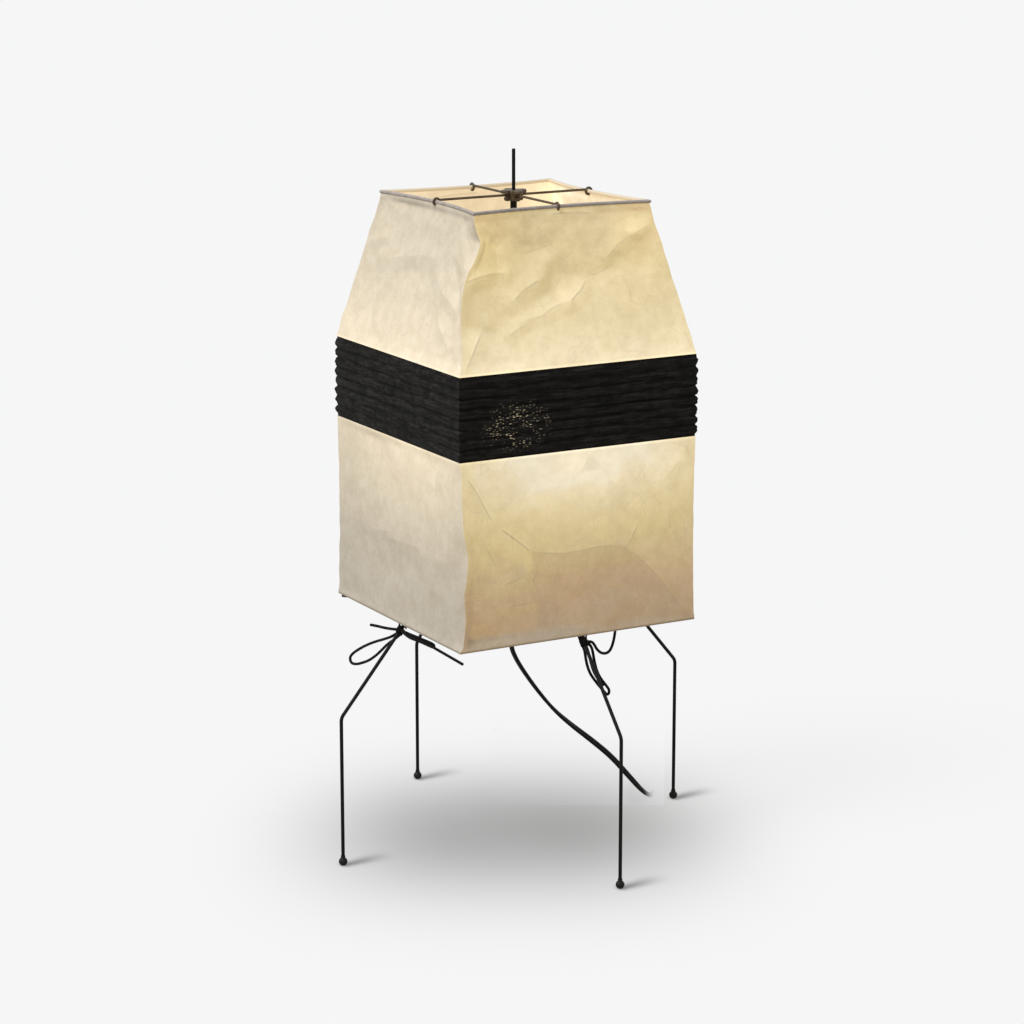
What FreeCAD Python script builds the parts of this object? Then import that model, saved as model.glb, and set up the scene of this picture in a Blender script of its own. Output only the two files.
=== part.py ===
import FreeCAD, Part
import math
import os

from FreeCAD import Vector

os.makedirs("parts", exist_ok=True)

# A square paper shade stands on a stand of four bent wire legs. Millimetres, +Z up, floor at zero.
# The wide photographed face looks along -Y. Sides: front (-Y), left (-X), back (+Y), right (+X).

# Shade: overall places and sides
band_side = 260.0            # across the outermost ribs of the black band
band_bottom = 417.0          # over the floor
band_height = 81.0
rib_count = 8
rib_depth = 1.8              # crest to valley
band_edge = 2.5              # plain strip above and below the ribs
bottom_side = 258.0          # across the lower paper at its bottom edge
bottom_edge = 235.0          # over the floor
top_side = 191.0             # across the corners of the top rim
top_rim_height = 642.0       # axis of the top rim over the floor
top_pinch = 10.0             # how far the hooks draw each top side in
paper_wall = 0.8
lower_belly = 2.5            # how far the lower faces are drawn in at half height
least_sag = 0.2              # faces are never quite flat where they meet the band

# Shade: wires
rim_wire = 2.4
rim_rest = 0.2               # paper's gap over the bottom rim
binding_wall = 0.6           # paper wound round the top rim
hoop_wire = 1.4
hoop_play = 0.05
arm_wire = 2.4
hook_radius = 3.2            # centre line of the hook at an arm's end
hook_bend = 1.6
hook_turn = 320.0            # degrees of the hook's circle
hook_rest = 0.05             # the binding's gap over the bottom of the hook

# Stand
leg_wire = 3.5
leg_spread = 195.0           # axis of the upright part of a leg from the centre
stand_turn = 2.3             # degrees, the tied-on stand under the shade
knee_height = 150.0
shoulder_reach = 125.0       # where a spoke bends down into its leg
rim_over_spoke = 0.3
shoulder_bend = 8.0
knee_bend = 10.0
foot_radius = 4.3
foot_flat = 0.3              # how much of the ball is cut off flat
foot_neck_wall = 0.5
foot_neck = 1.6
boss_radius = 16.0
boss_height = 11.0
spoke_start = 8.0            # inner end of a spoke from the axis
post_radius = 3.2
post_nut_height = 4.0
post_nut_width = 12.0        # across flats
post_nut_sides = 6
post_overhang = 1.4          # post below its nut
rod_radius = 1.7
rod_rise = 39.35             # over the hub's cap
rod_seat = 13.0              # rod held inside the post
rod_tip_round = 0.7
hub_play = 0.1               # round the rod, for the hub to slide
hub_rest = 0.3               # hub over the end of the post

# Hub of the four arms
hub_boss_radius = 5.6
hub_boss_drop = 5.6          # hub below the arms' axis
hub_roof = 0.7               # hub over the arms
arm_seat = 3.0               # arm held inside the hub
lug_radius = 2.3
lug_reach = 7.5
lug_width = 3.4
lug_rest = 0.1               # under an arm
lobe_radius = 5.0
lobe_reach = 8.5
cap_core_radius = 8.5
cap_height = 3.0
cap_round = 1.0

# Lamp holder and bulb, beside the post
socket_offset = 34.0         # from the post towards the front
bulb_radius = 28.0
bulb_height = 427.0          # centre of the globe over the floor
bulb_glass_wall = 1.0
bulb_shoulder = 38.0         # degrees below the middle, where the globe runs into its neck
bulb_bow_share = 0.06        # of the neck's slant, how far it is drawn in
bulb_neck_radius = 12.3
bulb_neck_drop = 48.0        # top of the metal cap below the globe's centre
bulb_cap_radius = 12.75
bulb_cap_height = 25.0
bulb_tip_radius = 4.5
bulb_tip_height = 2.0
thread_play = 0.3
shell_wall = 0.95
shell_over_cap = 1.0
cup_wall = 3.0
cup_floor = 8.0
cup_over_shell = 3.0
insulator_height = 3.0
contact_radius = 4.0
contact_height = 0.7
contact_gap = 0.3
plate_thickness = 3.0
plate_width = 10.0
collar_radius = 7.0
collar_height = 12.0
screw_radius = 1.5
screw_head_radius = 2.8
screw_head_height = 1.8
screw_grip = 5.0
plate_screw_reach = 9.0      # from the lamp holder's axis

# Cord: its width, the grommet in the boss and what is on it
cord_width = 6.0
cord_play = 0.3
gland_reach = 7.0            # along -X and along -Y from the axis
gland_wall = 1.3
gland_lip = 1.0
gland_tail = 20.0            # tapered part below the boss
gland_tip_wall = 0.6
gland_head = 4.0             # part over the boss

# In-line switch
switch_x = 230.0
switch_near = 116.0          # end of the switch towards the lamp
switch_length = 65.0
switch_width = 24.0
switch_height = 16.0
switch_wall = 1.6
switch_corner = 8.0
switch_edge = 2.0
rocker_length = 18.4
rocker_width = 8.8
rocker_slot_play = 0.4
rocker_pivot_drop = 4.0      # below the top of the switch
rocker_tilt = 7.0            # degrees either way
rocker_rise = 5.0            # its ends over the pivot
rocker_dip = 4.4             # its middle over the pivot
rocker_depth = 3.4           # below the pivot
axle_radius = 1.2
axle_reach = 1.2
axle_play = 0.05
lug_thickness = 2.4
switch_screw_reach = 22.0
switch_post_radius = 3.6
switch_shank_radius = 1.2
switch_head_radius = 2.4
switch_head_height = 1.6
switch_head_recess = 0.4

# Coil of the cord's spare length
coil_x = 188.0
coil_y = 221.0
coil_outer = 42.0            # centre line of the outermost turn of the lower layer
coil_pitch = 7.7             # from turn to turn, and from layer to layer
lower_half_turns = 5
upper_half_turns = 6
tie_band = 0.8
tie_band_width = 8.0
tie_band_play = 0.4
tie_band_corner = 2.6

# Plug
plug_length = 28.0
plug_width = 22.0
plug_height = 14.0
plug_edge = 4.0
blade_length = 17.0
blade_height = 6.3
blade_thickness = 1.5
blade_spacing = 12.7
blade_root = 6.0
blade_hole = 1.6
blade_hole_back = 4.5

# Strings that tie the shade to the legs
string_radius = 1.2
wrap_side = 3.3              # from the leg's axis to a wrap beside it
wrap_play = 0.6
wrap_corner = 2.4
collar_length = 5.2
collar_along = 6.0           # knot's middle from the shoulder, along the leg
collar_gap = 0.1

overrun = 5.0

sides = {"front": 0.0, "left": -90.0, "back": 180.0, "right": 90.0}
origin = Vector(0, 0, 0)
up = Vector(0, 0, 1)
outward = Vector(0, -1, 0)
sideways = Vector(1, 0, 0)
mostly = 0.5                 # least part of a unit direction that counts as along an axis
mitred = 1                   # corner style of a sweep
arc_share = 0.45             # of the shorter run beside a bend
lead_share = 0.4             # straight drop of the lead under the lamp holder
lead_bend_share = 0.6        # of that drop, its bend over the grommet


def turned(shape, degrees):
    copy = shape.copy()
    copy.rotate(origin, up, degrees)
    return copy


def export(name, shape):
    solids = len(shape.Solids)
    if not shape.isValid() or solids == 0:
        raise ValueError(name + " is not a valid solid")
    shape.exportStep("parts/" + name + ".step")
    print(name, "solids", solids, "volume", round(shape.Volume, 1))


def edges_along(shape, axis):
    return [edge for edge in shape.Edges if abs(edge.tangentAt(edge.FirstParameter).dot(axis)) > mostly]


def line(a, b):
    return Part.LineSegment(a, b).toShape()


def arc(a, middle, b):
    return Part.Arc(a, middle, b).toShape()


def cylinder(radius, height, base, axis=up):
    return Part.makeCylinder(radius, height, base, axis)


def hollow(outer, inner, height, base, axis=up):
    return cylinder(outer, height, base, axis).cut(cylinder(inner, height, base, axis))


def swept(edges, radius):
    # A round wire along tangent edges.
    path = Part.Wire(edges)
    first = path.OrderedEdges[0]
    start = first.valueAt(first.FirstParameter)
    along = first.tangentAt(first.FirstParameter)
    if first.Orientation == "Reversed":
        start = first.valueAt(first.LastParameter)
        along = first.tangentAt(first.LastParameter) * -1
    ring = Part.Wire(Part.Circle(start, along, radius).toShape())
    return path.makePipeShell([ring], True, False)


def rounded_path(points, radii):
    # Straight runs joined by tangent arcs, one radius for each inner point.
    edges = []
    here = points[0]
    for index in range(1, len(points) - 1):
        before = (points[index] - points[index - 1]).normalize()
        after = (points[index + 1] - points[index]).normalize()
        half = before.getAngle(after) / 2
        reach = radii[index - 1] * math.tan(half)
        enter = points[index] - before * reach
        leave = points[index] + after * reach
        inward = (after - before).normalize()
        centre = points[index] + inward * (radii[index - 1] / math.cos(half))
        middle = centre - inward * radii[index - 1]
        edges.append(line(here, enter))
        edges.append(arc(enter, middle, leave))
        here = leave
    edges.append(line(here, points[-1]))
    return edges


def soft_radii(points):
    radii = []
    for index in range(1, len(points) - 1):
        before = points[index] - points[index - 1]
        after = points[index + 1] - points[index]
        half = before.getAngle(after) / 2
        radii.append(arc_share * min(before.Length, after.Length) / math.tan(half))
    return radii


def soft_tube(name, points, radius):
    radii = soft_radii(points)
    edges = rounded_path(points, radii)
    solid = swept(edges, radius)
    length = sum(edge.Length for edge in edges)
    share = solid.Volume / (math.pi * radius * radius * length)
    print(name, "length", round(length, 1), "radii", [round(value) for value in radii],
          "volume share", round(share, 4))
    return solid


# Paper faces


def face_section(half, sag, height):
    # Outline of one paper face at one height, mitred at the corners of the shade.
    outer_left = Vector(-half, -half, height)
    outer_right = Vector(half, -half, height)
    inner_right = Vector(half - paper_wall, -half + paper_wall, height)
    inner_left = Vector(-half + paper_wall, -half + paper_wall, height)
    outer = arc(outer_left, Vector(0, -half + sag, height), outer_right)
    inner = arc(inner_right, Vector(0, -half + sag + paper_wall, height), inner_left)
    return Part.Wire([outer, line(outer_right, inner_right), inner, line(inner_left, outer_left)])


def paper_face(sections):
    return Part.makeLoft([face_section(*section) for section in sections], True, False)


valley_half = band_side / 2 - rib_depth
band_top = band_bottom + band_height
binding_radius = rim_wire / 2 + binding_wall
rim_half = top_side / 2 - binding_radius
upper_height = top_rim_height - binding_radius - band_top
upper_half_top = rim_half + paper_wall / 2
taper_shares = (0.0, 0.35, 0.7, 1.0)
pinch_shares = (0.0, 0.22, 0.58, 1.0)
upper_sections = []
for taper, pinch in zip(taper_shares, pinch_shares):
    half_side = valley_half + (upper_half_top - valley_half) * taper
    sag = least_sag + (top_pinch - least_sag) * pinch
    upper_sections.append((half_side, sag, band_top + upper_height * taper))

lower_height = band_bottom - bottom_edge
bottom_half = bottom_side / 2
fall_shares = (0.0, 0.33, 0.67, 1.0)
belly_shares = (0.0, 1.0, 0.9, 0.0)
waist_shares = (0.0, 0.4, 0.3, 0.0)
lower_sections = []
for fall, belly, waist in zip(fall_shares, belly_shares, waist_shares):
    half_side = valley_half + (bottom_half - valley_half) * fall - lower_belly * waist
    sag = least_sag + lower_belly * belly
    lower_sections.append((half_side, sag, band_bottom - lower_height * fall))

# Where the hooks and the strings pierce the paper
hook_height = top_rim_height - binding_radius + hook_radius - arm_wire / 2 - hook_rest
hook_reach = rim_half - top_pinch
bottom_rim_half = bottom_half - paper_wall - rim_wire / 2 - least_sag - rim_rest
bottom_rim_height = bottom_edge + rim_wire / 2
wrap_top = bottom_rim_height + rim_wire / 2 + wrap_play + string_radius

upper_face = paper_face(upper_sections)
hook_start = Vector(0, -hook_reach + overrun, hook_height - hook_radius)
upper_face = upper_face.cut(cylinder(arm_wire / 2 + wrap_play, 2 * overrun, hook_start, outward))
lower_face = paper_face(lower_sections)
for beside in (-wrap_side, wrap_side):
    string_start = Vector(beside, -bottom_half + overrun, wrap_top)
    string_hole = cylinder(string_radius + wrap_play, 2 * overrun, string_start, outward)
    lower_face = lower_face.cut(turned(string_hole, stand_turn))
for side, degrees in sides.items():
    export("upper_paper_" + side, turned(upper_face, degrees))
    export("lower_paper_" + side, turned(lower_face, degrees))

# Ribbed black band: equal arcs from valley to crest, swept round the square with mitred corners
rib_pitch = (band_height - 2 * band_edge) / rib_count
rib_arc = ((rib_pitch / 2) ** 2 + rib_depth ** 2) / (4 * rib_depth)
rib_angle = math.asin(rib_pitch / 4 / rib_arc)


def valley_point(level, turn, inset):
    # Near the valley at this level; a positive turn is above it.
    reach = rib_arc + inset
    return Vector(0, -(valley_half + rib_arc) + reach * math.cos(turn), level + reach * math.sin(turn))


def crest_point(level, turn, inset):
    reach = rib_arc - inset
    middle = band_side / 2 - rib_arc
    return Vector(0, -middle - reach * math.cos(turn), level + reach * math.sin(turn))


def ribbed_edges(inset):
    # The profile from the band's top to its bottom, a distance inside the outer face.
    first = band_top - band_edge
    edges = [line(Vector(0, -valley_half + inset, band_top), valley_point(first, 0, inset))]
    for rib in range(rib_count):
        top = first - rib * rib_pitch
        middle = top - rib_pitch / 2
        low = top - rib_pitch
        shoulder = crest_point(middle, rib_angle, inset)
        hip = crest_point(middle, -rib_angle, inset)
        above = valley_point(top, -rib_angle / 2, inset)
        below = valley_point(low, rib_angle / 2, inset)
        edges.append(arc(valley_point(top, 0, inset), above, shoulder))
        edges.append(arc(shoulder, crest_point(middle, 0, inset), hip))
        edges.append(arc(hip, below, valley_point(low, 0, inset)))
    last = valley_point(band_bottom + band_edge, 0, inset)
    edges.append(line(last, Vector(0, -valley_half + inset, band_bottom)))
    return edges


def square_path(half, height):
    # Starts at the middle of the front side.
    corners = [Vector(half, -half, height), Vector(half, half, height)]
    corners += [Vector(-half, half, height), Vector(-half, -half, height)]
    stops = [Vector(0, -half, height)] + corners + [Vector(0, -half, height)]
    return Part.Wire([line(stops[step], stops[step + 1]) for step in range(len(stops) - 1)])


def square_hoop(half, height, radius):
    ring = Part.Wire(Part.Circle(Vector(0, -half, height), sideways, radius).toShape())
    return square_path(half, height).makePipeShell([ring], True, False, mitred)


outer_edges = ribbed_edges(0)
inner_edges = ribbed_edges(paper_wall)
lid_top = line(Vector(0, -valley_half, band_top), Vector(0, -valley_half + paper_wall, band_top))
lid_low = line(Vector(0, -valley_half, band_bottom), Vector(0, -valley_half + paper_wall, band_bottom))
band_outline = Part.Wire(Part.sortEdges(outer_edges + inner_edges + [lid_top, lid_low])[0])
black_band = square_path(valley_half, band_bottom).makePipeShell([band_outline], True, False, mitred)
export("black_band", black_band)

# A thin square hoop inside each rib
hoop_half = band_side / 2 - paper_wall - hoop_wire / 2 - hoop_play
hoops = []
for rib in range(rib_count):
    level = band_top - band_edge - (rib + 0.5) * rib_pitch
    hoops.append(square_hoop(hoop_half, level, hoop_wire / 2))
export("band_hoops", Part.makeCompound(hoops))

# Bottom rim: a square wire inside the paper's lower edge
export("bottom_rim_wire", square_hoop(bottom_rim_half, bottom_rim_height, rim_wire / 2))

# Top rim: four drawn-in arcs of wire, mitred, inside a wound paper binding
rim_arc = (rim_half ** 2 + top_pinch ** 2) / (2 * top_pinch)
rim_turn = 2 * math.degrees(math.asin(rim_half / rim_arc))
far = 2 * band_side
wedge_outline = Part.makePolygon([origin, Vector(-far, -far, 0), Vector(far, -far, 0), origin])
wedge = Part.Face(wedge_outline).extrude(Vector(0, 0, far))
wedge.translate(Vector(0, 0, top_rim_height - far / 2))


def drawn_in_ring(face):
    # Revolves a section at the middle of the front side into four mitred arcs.
    arc_centre = Vector(0, -hook_reach - rim_arc, top_rim_height)
    face.rotate(arc_centre, up, -rim_turn)
    quarter = face.revolve(arc_centre, up, 2 * rim_turn).common(wedge)
    ring = quarter
    for step in range(1, 4):
        ring = ring.fuse(turned(quarter, 90 * step))
    return ring


def round_face(radius, bore):
    # A disc, or a ring where it has a bore, on the axis of the top rim.
    middle = Vector(0, -hook_reach, top_rim_height)
    rings = [Part.Wire(Part.Circle(middle, sideways, radius).toShape())]
    if bore:
        rings.append(Part.Wire(Part.Circle(middle, sideways, bore).toShape()))
        return Part.Face(rings[0]).cut(Part.Face(rings[1])).Faces[0]
    return Part.Face(rings[0])


export("top_rim_wire", drawn_in_ring(round_face(rim_wire / 2, 0)))
export("top_rim_binding", drawn_in_ring(round_face(binding_radius, rim_wire / 2)))

# Four arms with hooks, from the hub to the middle of each top side
arm_height = hook_height + hook_bend
arm_start = hub_boss_radius - arm_seat
bend_start = hook_reach - hook_radius - hook_bend


def hook_point(turn):
    # On the hook's circle; zero is the side towards the hub, and the wire goes down first.
    angle = math.radians(turn)
    reach = hook_reach - hook_radius * math.cos(angle)
    return Vector(0, -reach, hook_height - hook_radius * math.sin(angle))


half_bend = math.pi / 4
bend_middle_out = bend_start + hook_bend * math.sin(half_bend)
bend_middle_high = arm_height - hook_bend * (1 - math.cos(half_bend))
bend_middle = Vector(0, -bend_middle_out, bend_middle_high)
arm_edges = [
    line(Vector(0, -arm_start, arm_height), Vector(0, -bend_start, arm_height)),
    arc(Vector(0, -bend_start, arm_height), bend_middle, hook_point(0)),
    arc(hook_point(0), hook_point(hook_turn / 4), hook_point(hook_turn / 2)),
    arc(hook_point(hook_turn / 2), hook_point(hook_turn * 3 / 4), hook_point(hook_turn)),
]
arm = swept(arm_edges, arm_wire / 2)
for side, degrees in sides.items():
    export("arm_" + side, turned(arm, degrees))

# Hub: a core that slides on the rod, with a lug under each arm, and a lobed cap
hub_bottom = arm_height - hub_boss_drop
hub_top = arm_height + arm_wire / 2 + hub_roof
hub_bore = rod_radius + hub_play
hub_core = cylinder(hub_boss_radius, hub_top - hub_bottom, Vector(0, 0, hub_bottom))
lug_height = arm_height - arm_wire / 2 - lug_rest - lug_radius
for degrees in sides.values():
    lug = cylinder(lug_radius, lug_width, Vector(-lug_width / 2, -lug_reach, lug_height), sideways)
    web_corner = Vector(-lug_width / 2, -lug_reach, lug_height - lug_radius / 2)
    web = Part.makeBox(lug_width, lug_reach, lug_radius, web_corner)
    hub_core = hub_core.fuse([turned(lug, degrees), turned(web, degrees)])
for degrees in sides.values():
    seat = cylinder(arm_wire / 2, arm_seat + overrun, Vector(0, -arm_start, arm_height), outward)
    hub_core = hub_core.cut(turned(seat, degrees))
hub_core = hub_core.cut(cylinder(hub_bore, far, Vector(0, 0, hub_bottom - overrun)))
export("hub_core", hub_core)

hub_cap = cylinder(cap_core_radius, cap_height, Vector(0, 0, hub_top))
for degrees in sides.values():
    lobe = cylinder(lobe_radius, cap_height, Vector(0, -lobe_reach, hub_top))
    hub_cap = hub_cap.fuse(turned(lobe, degrees))
hub_cap = hub_cap.removeSplitter()
cap_rim = [edge for edge in hub_cap.Edges if edge.BoundBox.ZMin > hub_top + cap_height / 2]
hub_cap = hub_cap.makeFillet(cap_round, cap_rim)
hub_cap = hub_cap.cut(cylinder(hub_bore, far, Vector(0, 0, hub_top - overrun)))
export("hub_cap", hub_cap)

# Stand: four bent wire legs that meet in a round boss, turned a little under the shade
spoke_height = bottom_edge - rim_over_spoke - leg_wire / 2
foot_height = foot_radius - foot_flat
leg_points = [
    Vector(0, -spoke_start, spoke_height),
    Vector(0, -shoulder_reach, spoke_height),
    Vector(0, -leg_spread, knee_height),
    Vector(0, -leg_spread, foot_height),
]
leg = swept(rounded_path(leg_points, [shoulder_bend, knee_bend]), leg_wire / 2)
foot = Part.makeSphere(foot_radius, Vector(0, -leg_spread, foot_height))
neck_radius = leg_wire / 2 + foot_neck_wall
foot = foot.fuse(cylinder(neck_radius, foot_radius + foot_neck, Vector(0, -leg_spread, foot_height)))
foot = foot.cut(cylinder(leg_wire / 2, far, Vector(0, -leg_spread, foot_height)))
foot = foot.cut(cylinder(foot_radius, foot_radius, Vector(0, -leg_spread, -foot_radius)))
for side, degrees in sides.items():
    export("leg_" + side, turned(leg, degrees + stand_turn))
    export("foot_" + side, turned(foot, degrees + stand_turn))

boss_bottom = spoke_height - boss_height / 2
gland_spot = Vector(-gland_reach, -gland_reach, 0)
cord_radius = cord_width / 2
gland_radius = cord_radius + gland_wall
boss = cylinder(boss_radius, boss_height, Vector(0, 0, boss_bottom))
boss_rims = [edge for edge in boss.Edges if len(edge.Vertexes) == 1]
boss = boss.makeFillet(cap_round, boss_rims)
boss = boss.cut(cylinder(post_radius, far, Vector(0, 0, boss_bottom - overrun)))
boss = boss.cut(cylinder(gland_radius, far, gland_spot + up * (boss_bottom - overrun)))
for degrees in sides.values():
    spoke_seat = cylinder(leg_wire / 2, boss_radius, Vector(0, -spoke_start, spoke_height), outward)
    boss = boss.cut(turned(spoke_seat, degrees + stand_turn))
export("leg_boss", boss)

post_bottom = boss_bottom - post_nut_height - post_overhang
post_top = hub_bottom - hub_rest
export("post_tube", hollow(post_radius, rod_radius, post_top - post_bottom, Vector(0, 0, post_bottom)))
nut_step = 2 * math.pi / post_nut_sides
nut_reach = post_nut_width / 2 / math.cos(nut_step / 2)
nut_low = boss_bottom - post_nut_height
nut_corners = []
for corner in range(post_nut_sides + 1):
    angle = nut_step * corner
    nut_corners.append(Vector(nut_reach * math.cos(angle), nut_reach * math.sin(angle), nut_low))
post_nut = Part.Face(Part.makePolygon(nut_corners)).extrude(Vector(0, 0, post_nut_height))
post_nut = post_nut.cut(cylinder(post_radius, far, Vector(0, 0, post_bottom - overrun)))
gland_room = cylinder(gland_radius + cord_play, far, gland_spot + up * (post_bottom - overrun))
post_nut = post_nut.cut(gland_room)
export("post_nut", post_nut)
rod_bottom = post_top - rod_seat
rod_top = hub_top + cap_height + rod_rise
rod = cylinder(rod_radius, rod_top - rod_bottom, Vector(0, 0, rod_bottom))
rod_tip = [edge for edge in rod.Edges if len(edge.Vertexes) == 1 and edge.CenterOfMass.z > post_top]
export("top_rod", rod.makeFillet(rod_tip_round, rod_tip))

# Bulb: a thin globe with a neck, its metal cap and its contact tip
bulb_axis = Vector(0, -socket_offset, 0)
cap_top = bulb_height - bulb_neck_drop
cap_bottom = cap_top - bulb_cap_height


def bulb_outline(inset):
    # Half section of the glass, from the top of the globe to the neck, a wall inside the outer face.
    radius = bulb_radius - inset
    neck = bulb_neck_radius - inset
    side_angle = math.radians(-bulb_shoulder)
    shoulder = Vector(radius * math.cos(side_angle), 0, bulb_height + radius * math.sin(side_angle))
    crown = Vector(0, 0, bulb_height + radius)
    flank = Vector(radius, 0, bulb_height)
    neck_top = Vector(neck, 0, cap_top + inset)
    slope = Vector(math.sin(side_angle), 0, -math.cos(side_angle))
    reach = (shoulder - neck_top).Length
    bow = (shoulder + neck_top) * 0.5 + slope * (reach * bulb_bow_share)
    return [arc(crown, flank, shoulder), arc(shoulder, bow, neck_top)], neck_top, crown


outer_glass, glass_neck, glass_crown = bulb_outline(0)
inner_glass, inner_neck, inner_crown = bulb_outline(bulb_glass_wall)
outer_floor = Vector(0, 0, glass_neck.z)
inner_floor = Vector(0, 0, inner_neck.z)
outer_edges = outer_glass + [line(glass_neck, outer_floor), line(outer_floor, glass_crown)]
inner_edges = inner_glass + [line(inner_neck, inner_floor), line(inner_floor, inner_crown)]
glass_solid = Part.Face(Part.Wire(outer_edges)).revolve(origin, up, 360)
glass_void = Part.Face(Part.Wire(inner_edges)).revolve(origin, up, 360)
bulb_glass = glass_solid.cut(glass_void)
bulb_glass.translate(bulb_axis)
export("bulb_glass", bulb_glass)
export("bulb_cap", cylinder(bulb_cap_radius, bulb_cap_height, bulb_axis + up * cap_bottom))
tip_bottom = cap_bottom - bulb_tip_height
export("bulb_tip", cylinder(bulb_tip_radius, bulb_tip_height, bulb_axis + up * tip_bottom))

# Lamp holder: cup, insulator, screw shell and contact, on a plate clamped to the post
contact_top = tip_bottom - contact_gap
insulator_top = contact_top - contact_height
shell_top = cap_top + shell_over_cap
shell_radius = bulb_cap_radius + thread_play + shell_wall
cup_inside = insulator_top - insulator_height
cup_bottom = cup_inside - cup_floor
cup_height = shell_top + cup_over_shell - cup_bottom
cup = cylinder(shell_radius + cup_wall, cup_height, bulb_axis + up * cup_bottom)
cup = cup.cut(cylinder(shell_radius, far, bulb_axis + up * cup_inside))
cup_rims = [edge for edge in cup.Edges if edge.BoundBox.ZMax < cup_bottom + cup_floor / 2]
cup = cup.makeFillet(cap_round, cup_rims)
plate_top = cup_bottom
plate_bottom = plate_top - plate_thickness
screw_spots = [bulb_axis + Vector(sign * plate_screw_reach, 0, 0) for sign in (-1, 1)]
for spot in screw_spots:
    cup = cup.cut(cylinder(screw_radius, screw_grip, spot + up * cup_bottom))
export("socket_cup", cup)
export("socket_insulator", cylinder(shell_radius, insulator_height, bulb_axis + up * cup_inside))
shell_height = shell_top - insulator_top
shell_base = bulb_axis + up * insulator_top
export("socket_shell", hollow(shell_radius, shell_radius - shell_wall, shell_height, shell_base))
export("socket_contact", cylinder(contact_radius, contact_height, shell_base))

lead_hole = cord_radius + cord_play
plate_corner = Vector(-plate_width / 2, -socket_offset, plate_bottom)
plate_end_radius = plate_screw_reach + screw_head_radius
plate_end = cylinder(plate_end_radius, plate_thickness, bulb_axis + up * plate_bottom)
clamp_ring = cylinder(collar_radius, collar_height, Vector(0, 0, plate_top - collar_height))
plate = Part.makeBox(plate_width, socket_offset, plate_thickness, plate_corner)
plate = plate.fuse([plate_end, clamp_ring])
plate = plate.cut(cylinder(post_radius, far, Vector(0, 0, plate_top - far / 2)))
plate = plate.cut(cylinder(lead_hole, far, bulb_axis + up * (plate_top - far / 2)))
clamp_height = plate_bottom - (collar_height - plate_thickness) / 2
clamp_start = Vector(0, post_radius, clamp_height)
for spot in screw_spots:
    plate = plate.cut(cylinder(screw_radius, far, spot + up * (plate_top - far / 2)))
plate = plate.cut(cylinder(screw_radius, far, clamp_start, outward * -1))
export("socket_bracket", plate)
screws = []
for spot in screw_spots:
    shank = cylinder(screw_radius, plate_thickness + screw_grip, spot + up * plate_bottom)
    head_base = spot + up * (plate_bottom - screw_head_height)
    screws.append(shank.fuse(cylinder(screw_head_radius, screw_head_height, head_base)))
clamp = cylinder(screw_radius, collar_radius - post_radius, clamp_start, outward * -1)
clamp_end = Vector(0, collar_radius, clamp_height)
screws.append(clamp.fuse(cylinder(screw_head_radius, screw_head_height, clamp_end, outward * -1)))
export("socket_screws", Part.makeCompound(screws))

# Grommet in the boss with a tapered tail, and the lead from the lamp holder down to its mouth
tail_top = boss_bottom - gland_lip
tail_bottom = tail_top - gland_tail
head_top = boss_bottom + boss_height + gland_head
gland = cylinder(gland_radius, head_top - tail_top, gland_spot + up * tail_top)
tail_base = gland_spot + up * tail_bottom
gland = gland.fuse(Part.makeCone(cord_radius + gland_tip_wall, gland_radius, gland_tail, tail_base))
gland = gland.cut(cylinder(cord_radius, far, gland_spot + up * (tail_bottom - overrun)))
export("cord_gland", gland)
lead_drop = (plate_top - head_top) * lead_share
lead_points = [
    bulb_axis + up * plate_top,
    bulb_axis + up * (plate_top - lead_drop),
    gland_spot + up * (head_top + lead_drop * lead_bend_share),
    gland_spot + up * head_top,
]
lead_edges = rounded_path(lead_points, soft_radii(lead_points))
lead_edges.append(line(lead_points[-1], tail_base))
export("socket_lead", swept(lead_edges, cord_radius))

# Cord from the grommet to the in-line switch; the first point is the grommet's mouth
cord_drop_points = [
    tail_base,
    gland_spot + up * (tail_bottom - gland_tail / 2),
    Vector(-2, -6.6, 184),
    Vector(8, -6, 168),
    Vector(24, -5, 146),
    Vector(45, -3, 121),
    Vector(68, -1, 100.5),
    Vector(92, 1, 81),
    Vector(117, 3, 59),
    Vector(139, 5, 34),
    Vector(158, 7, 13),
    Vector(175, 17, 3.6),
    Vector(190, 36, 3),
    Vector(206, 55, 3),
    Vector(218, 71, 3.3),
    Vector(226.5, 84, 4.6),
    Vector(230, 96, 7),
    Vector(230, 106, 8),
    Vector(230, 116, 8),
]
export("cord_drop", soft_tube("cord_drop", cord_drop_points, cord_radius))

# In-line switch: two half shells, a rocker on an axle in the upper one, and two screws from below
switch_far = switch_near + switch_length
switch_middle = (switch_near + switch_far) / 2
half_height = switch_height / 2
pivot = Vector(switch_x, switch_middle, switch_height - rocker_pivot_drop)


def switch_block(inset):
    # The whole switch's outer form, or its inside when inset by the wall.
    low = Vector(switch_x - switch_width / 2 + inset, switch_near + inset, inset)
    width = switch_width - 2 * inset
    length = switch_length - 2 * inset
    height = switch_height - 2 * inset
    block = Part.makeBox(width, length, height, low)
    uprights = edges_along(block, up)
    block = block.makeFillet(switch_corner - inset, uprights)
    if inset:
        return block
    rims = [edge for edge in block.Edges if edge.BoundBox.ZLength < height / 2]
    return block.makeFillet(switch_edge, rims)


def across(radius, length, centre):
    # A cylinder along X, centred on a point.
    return cylinder(radius, length, centre - sideways * length / 2, sideways)


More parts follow.
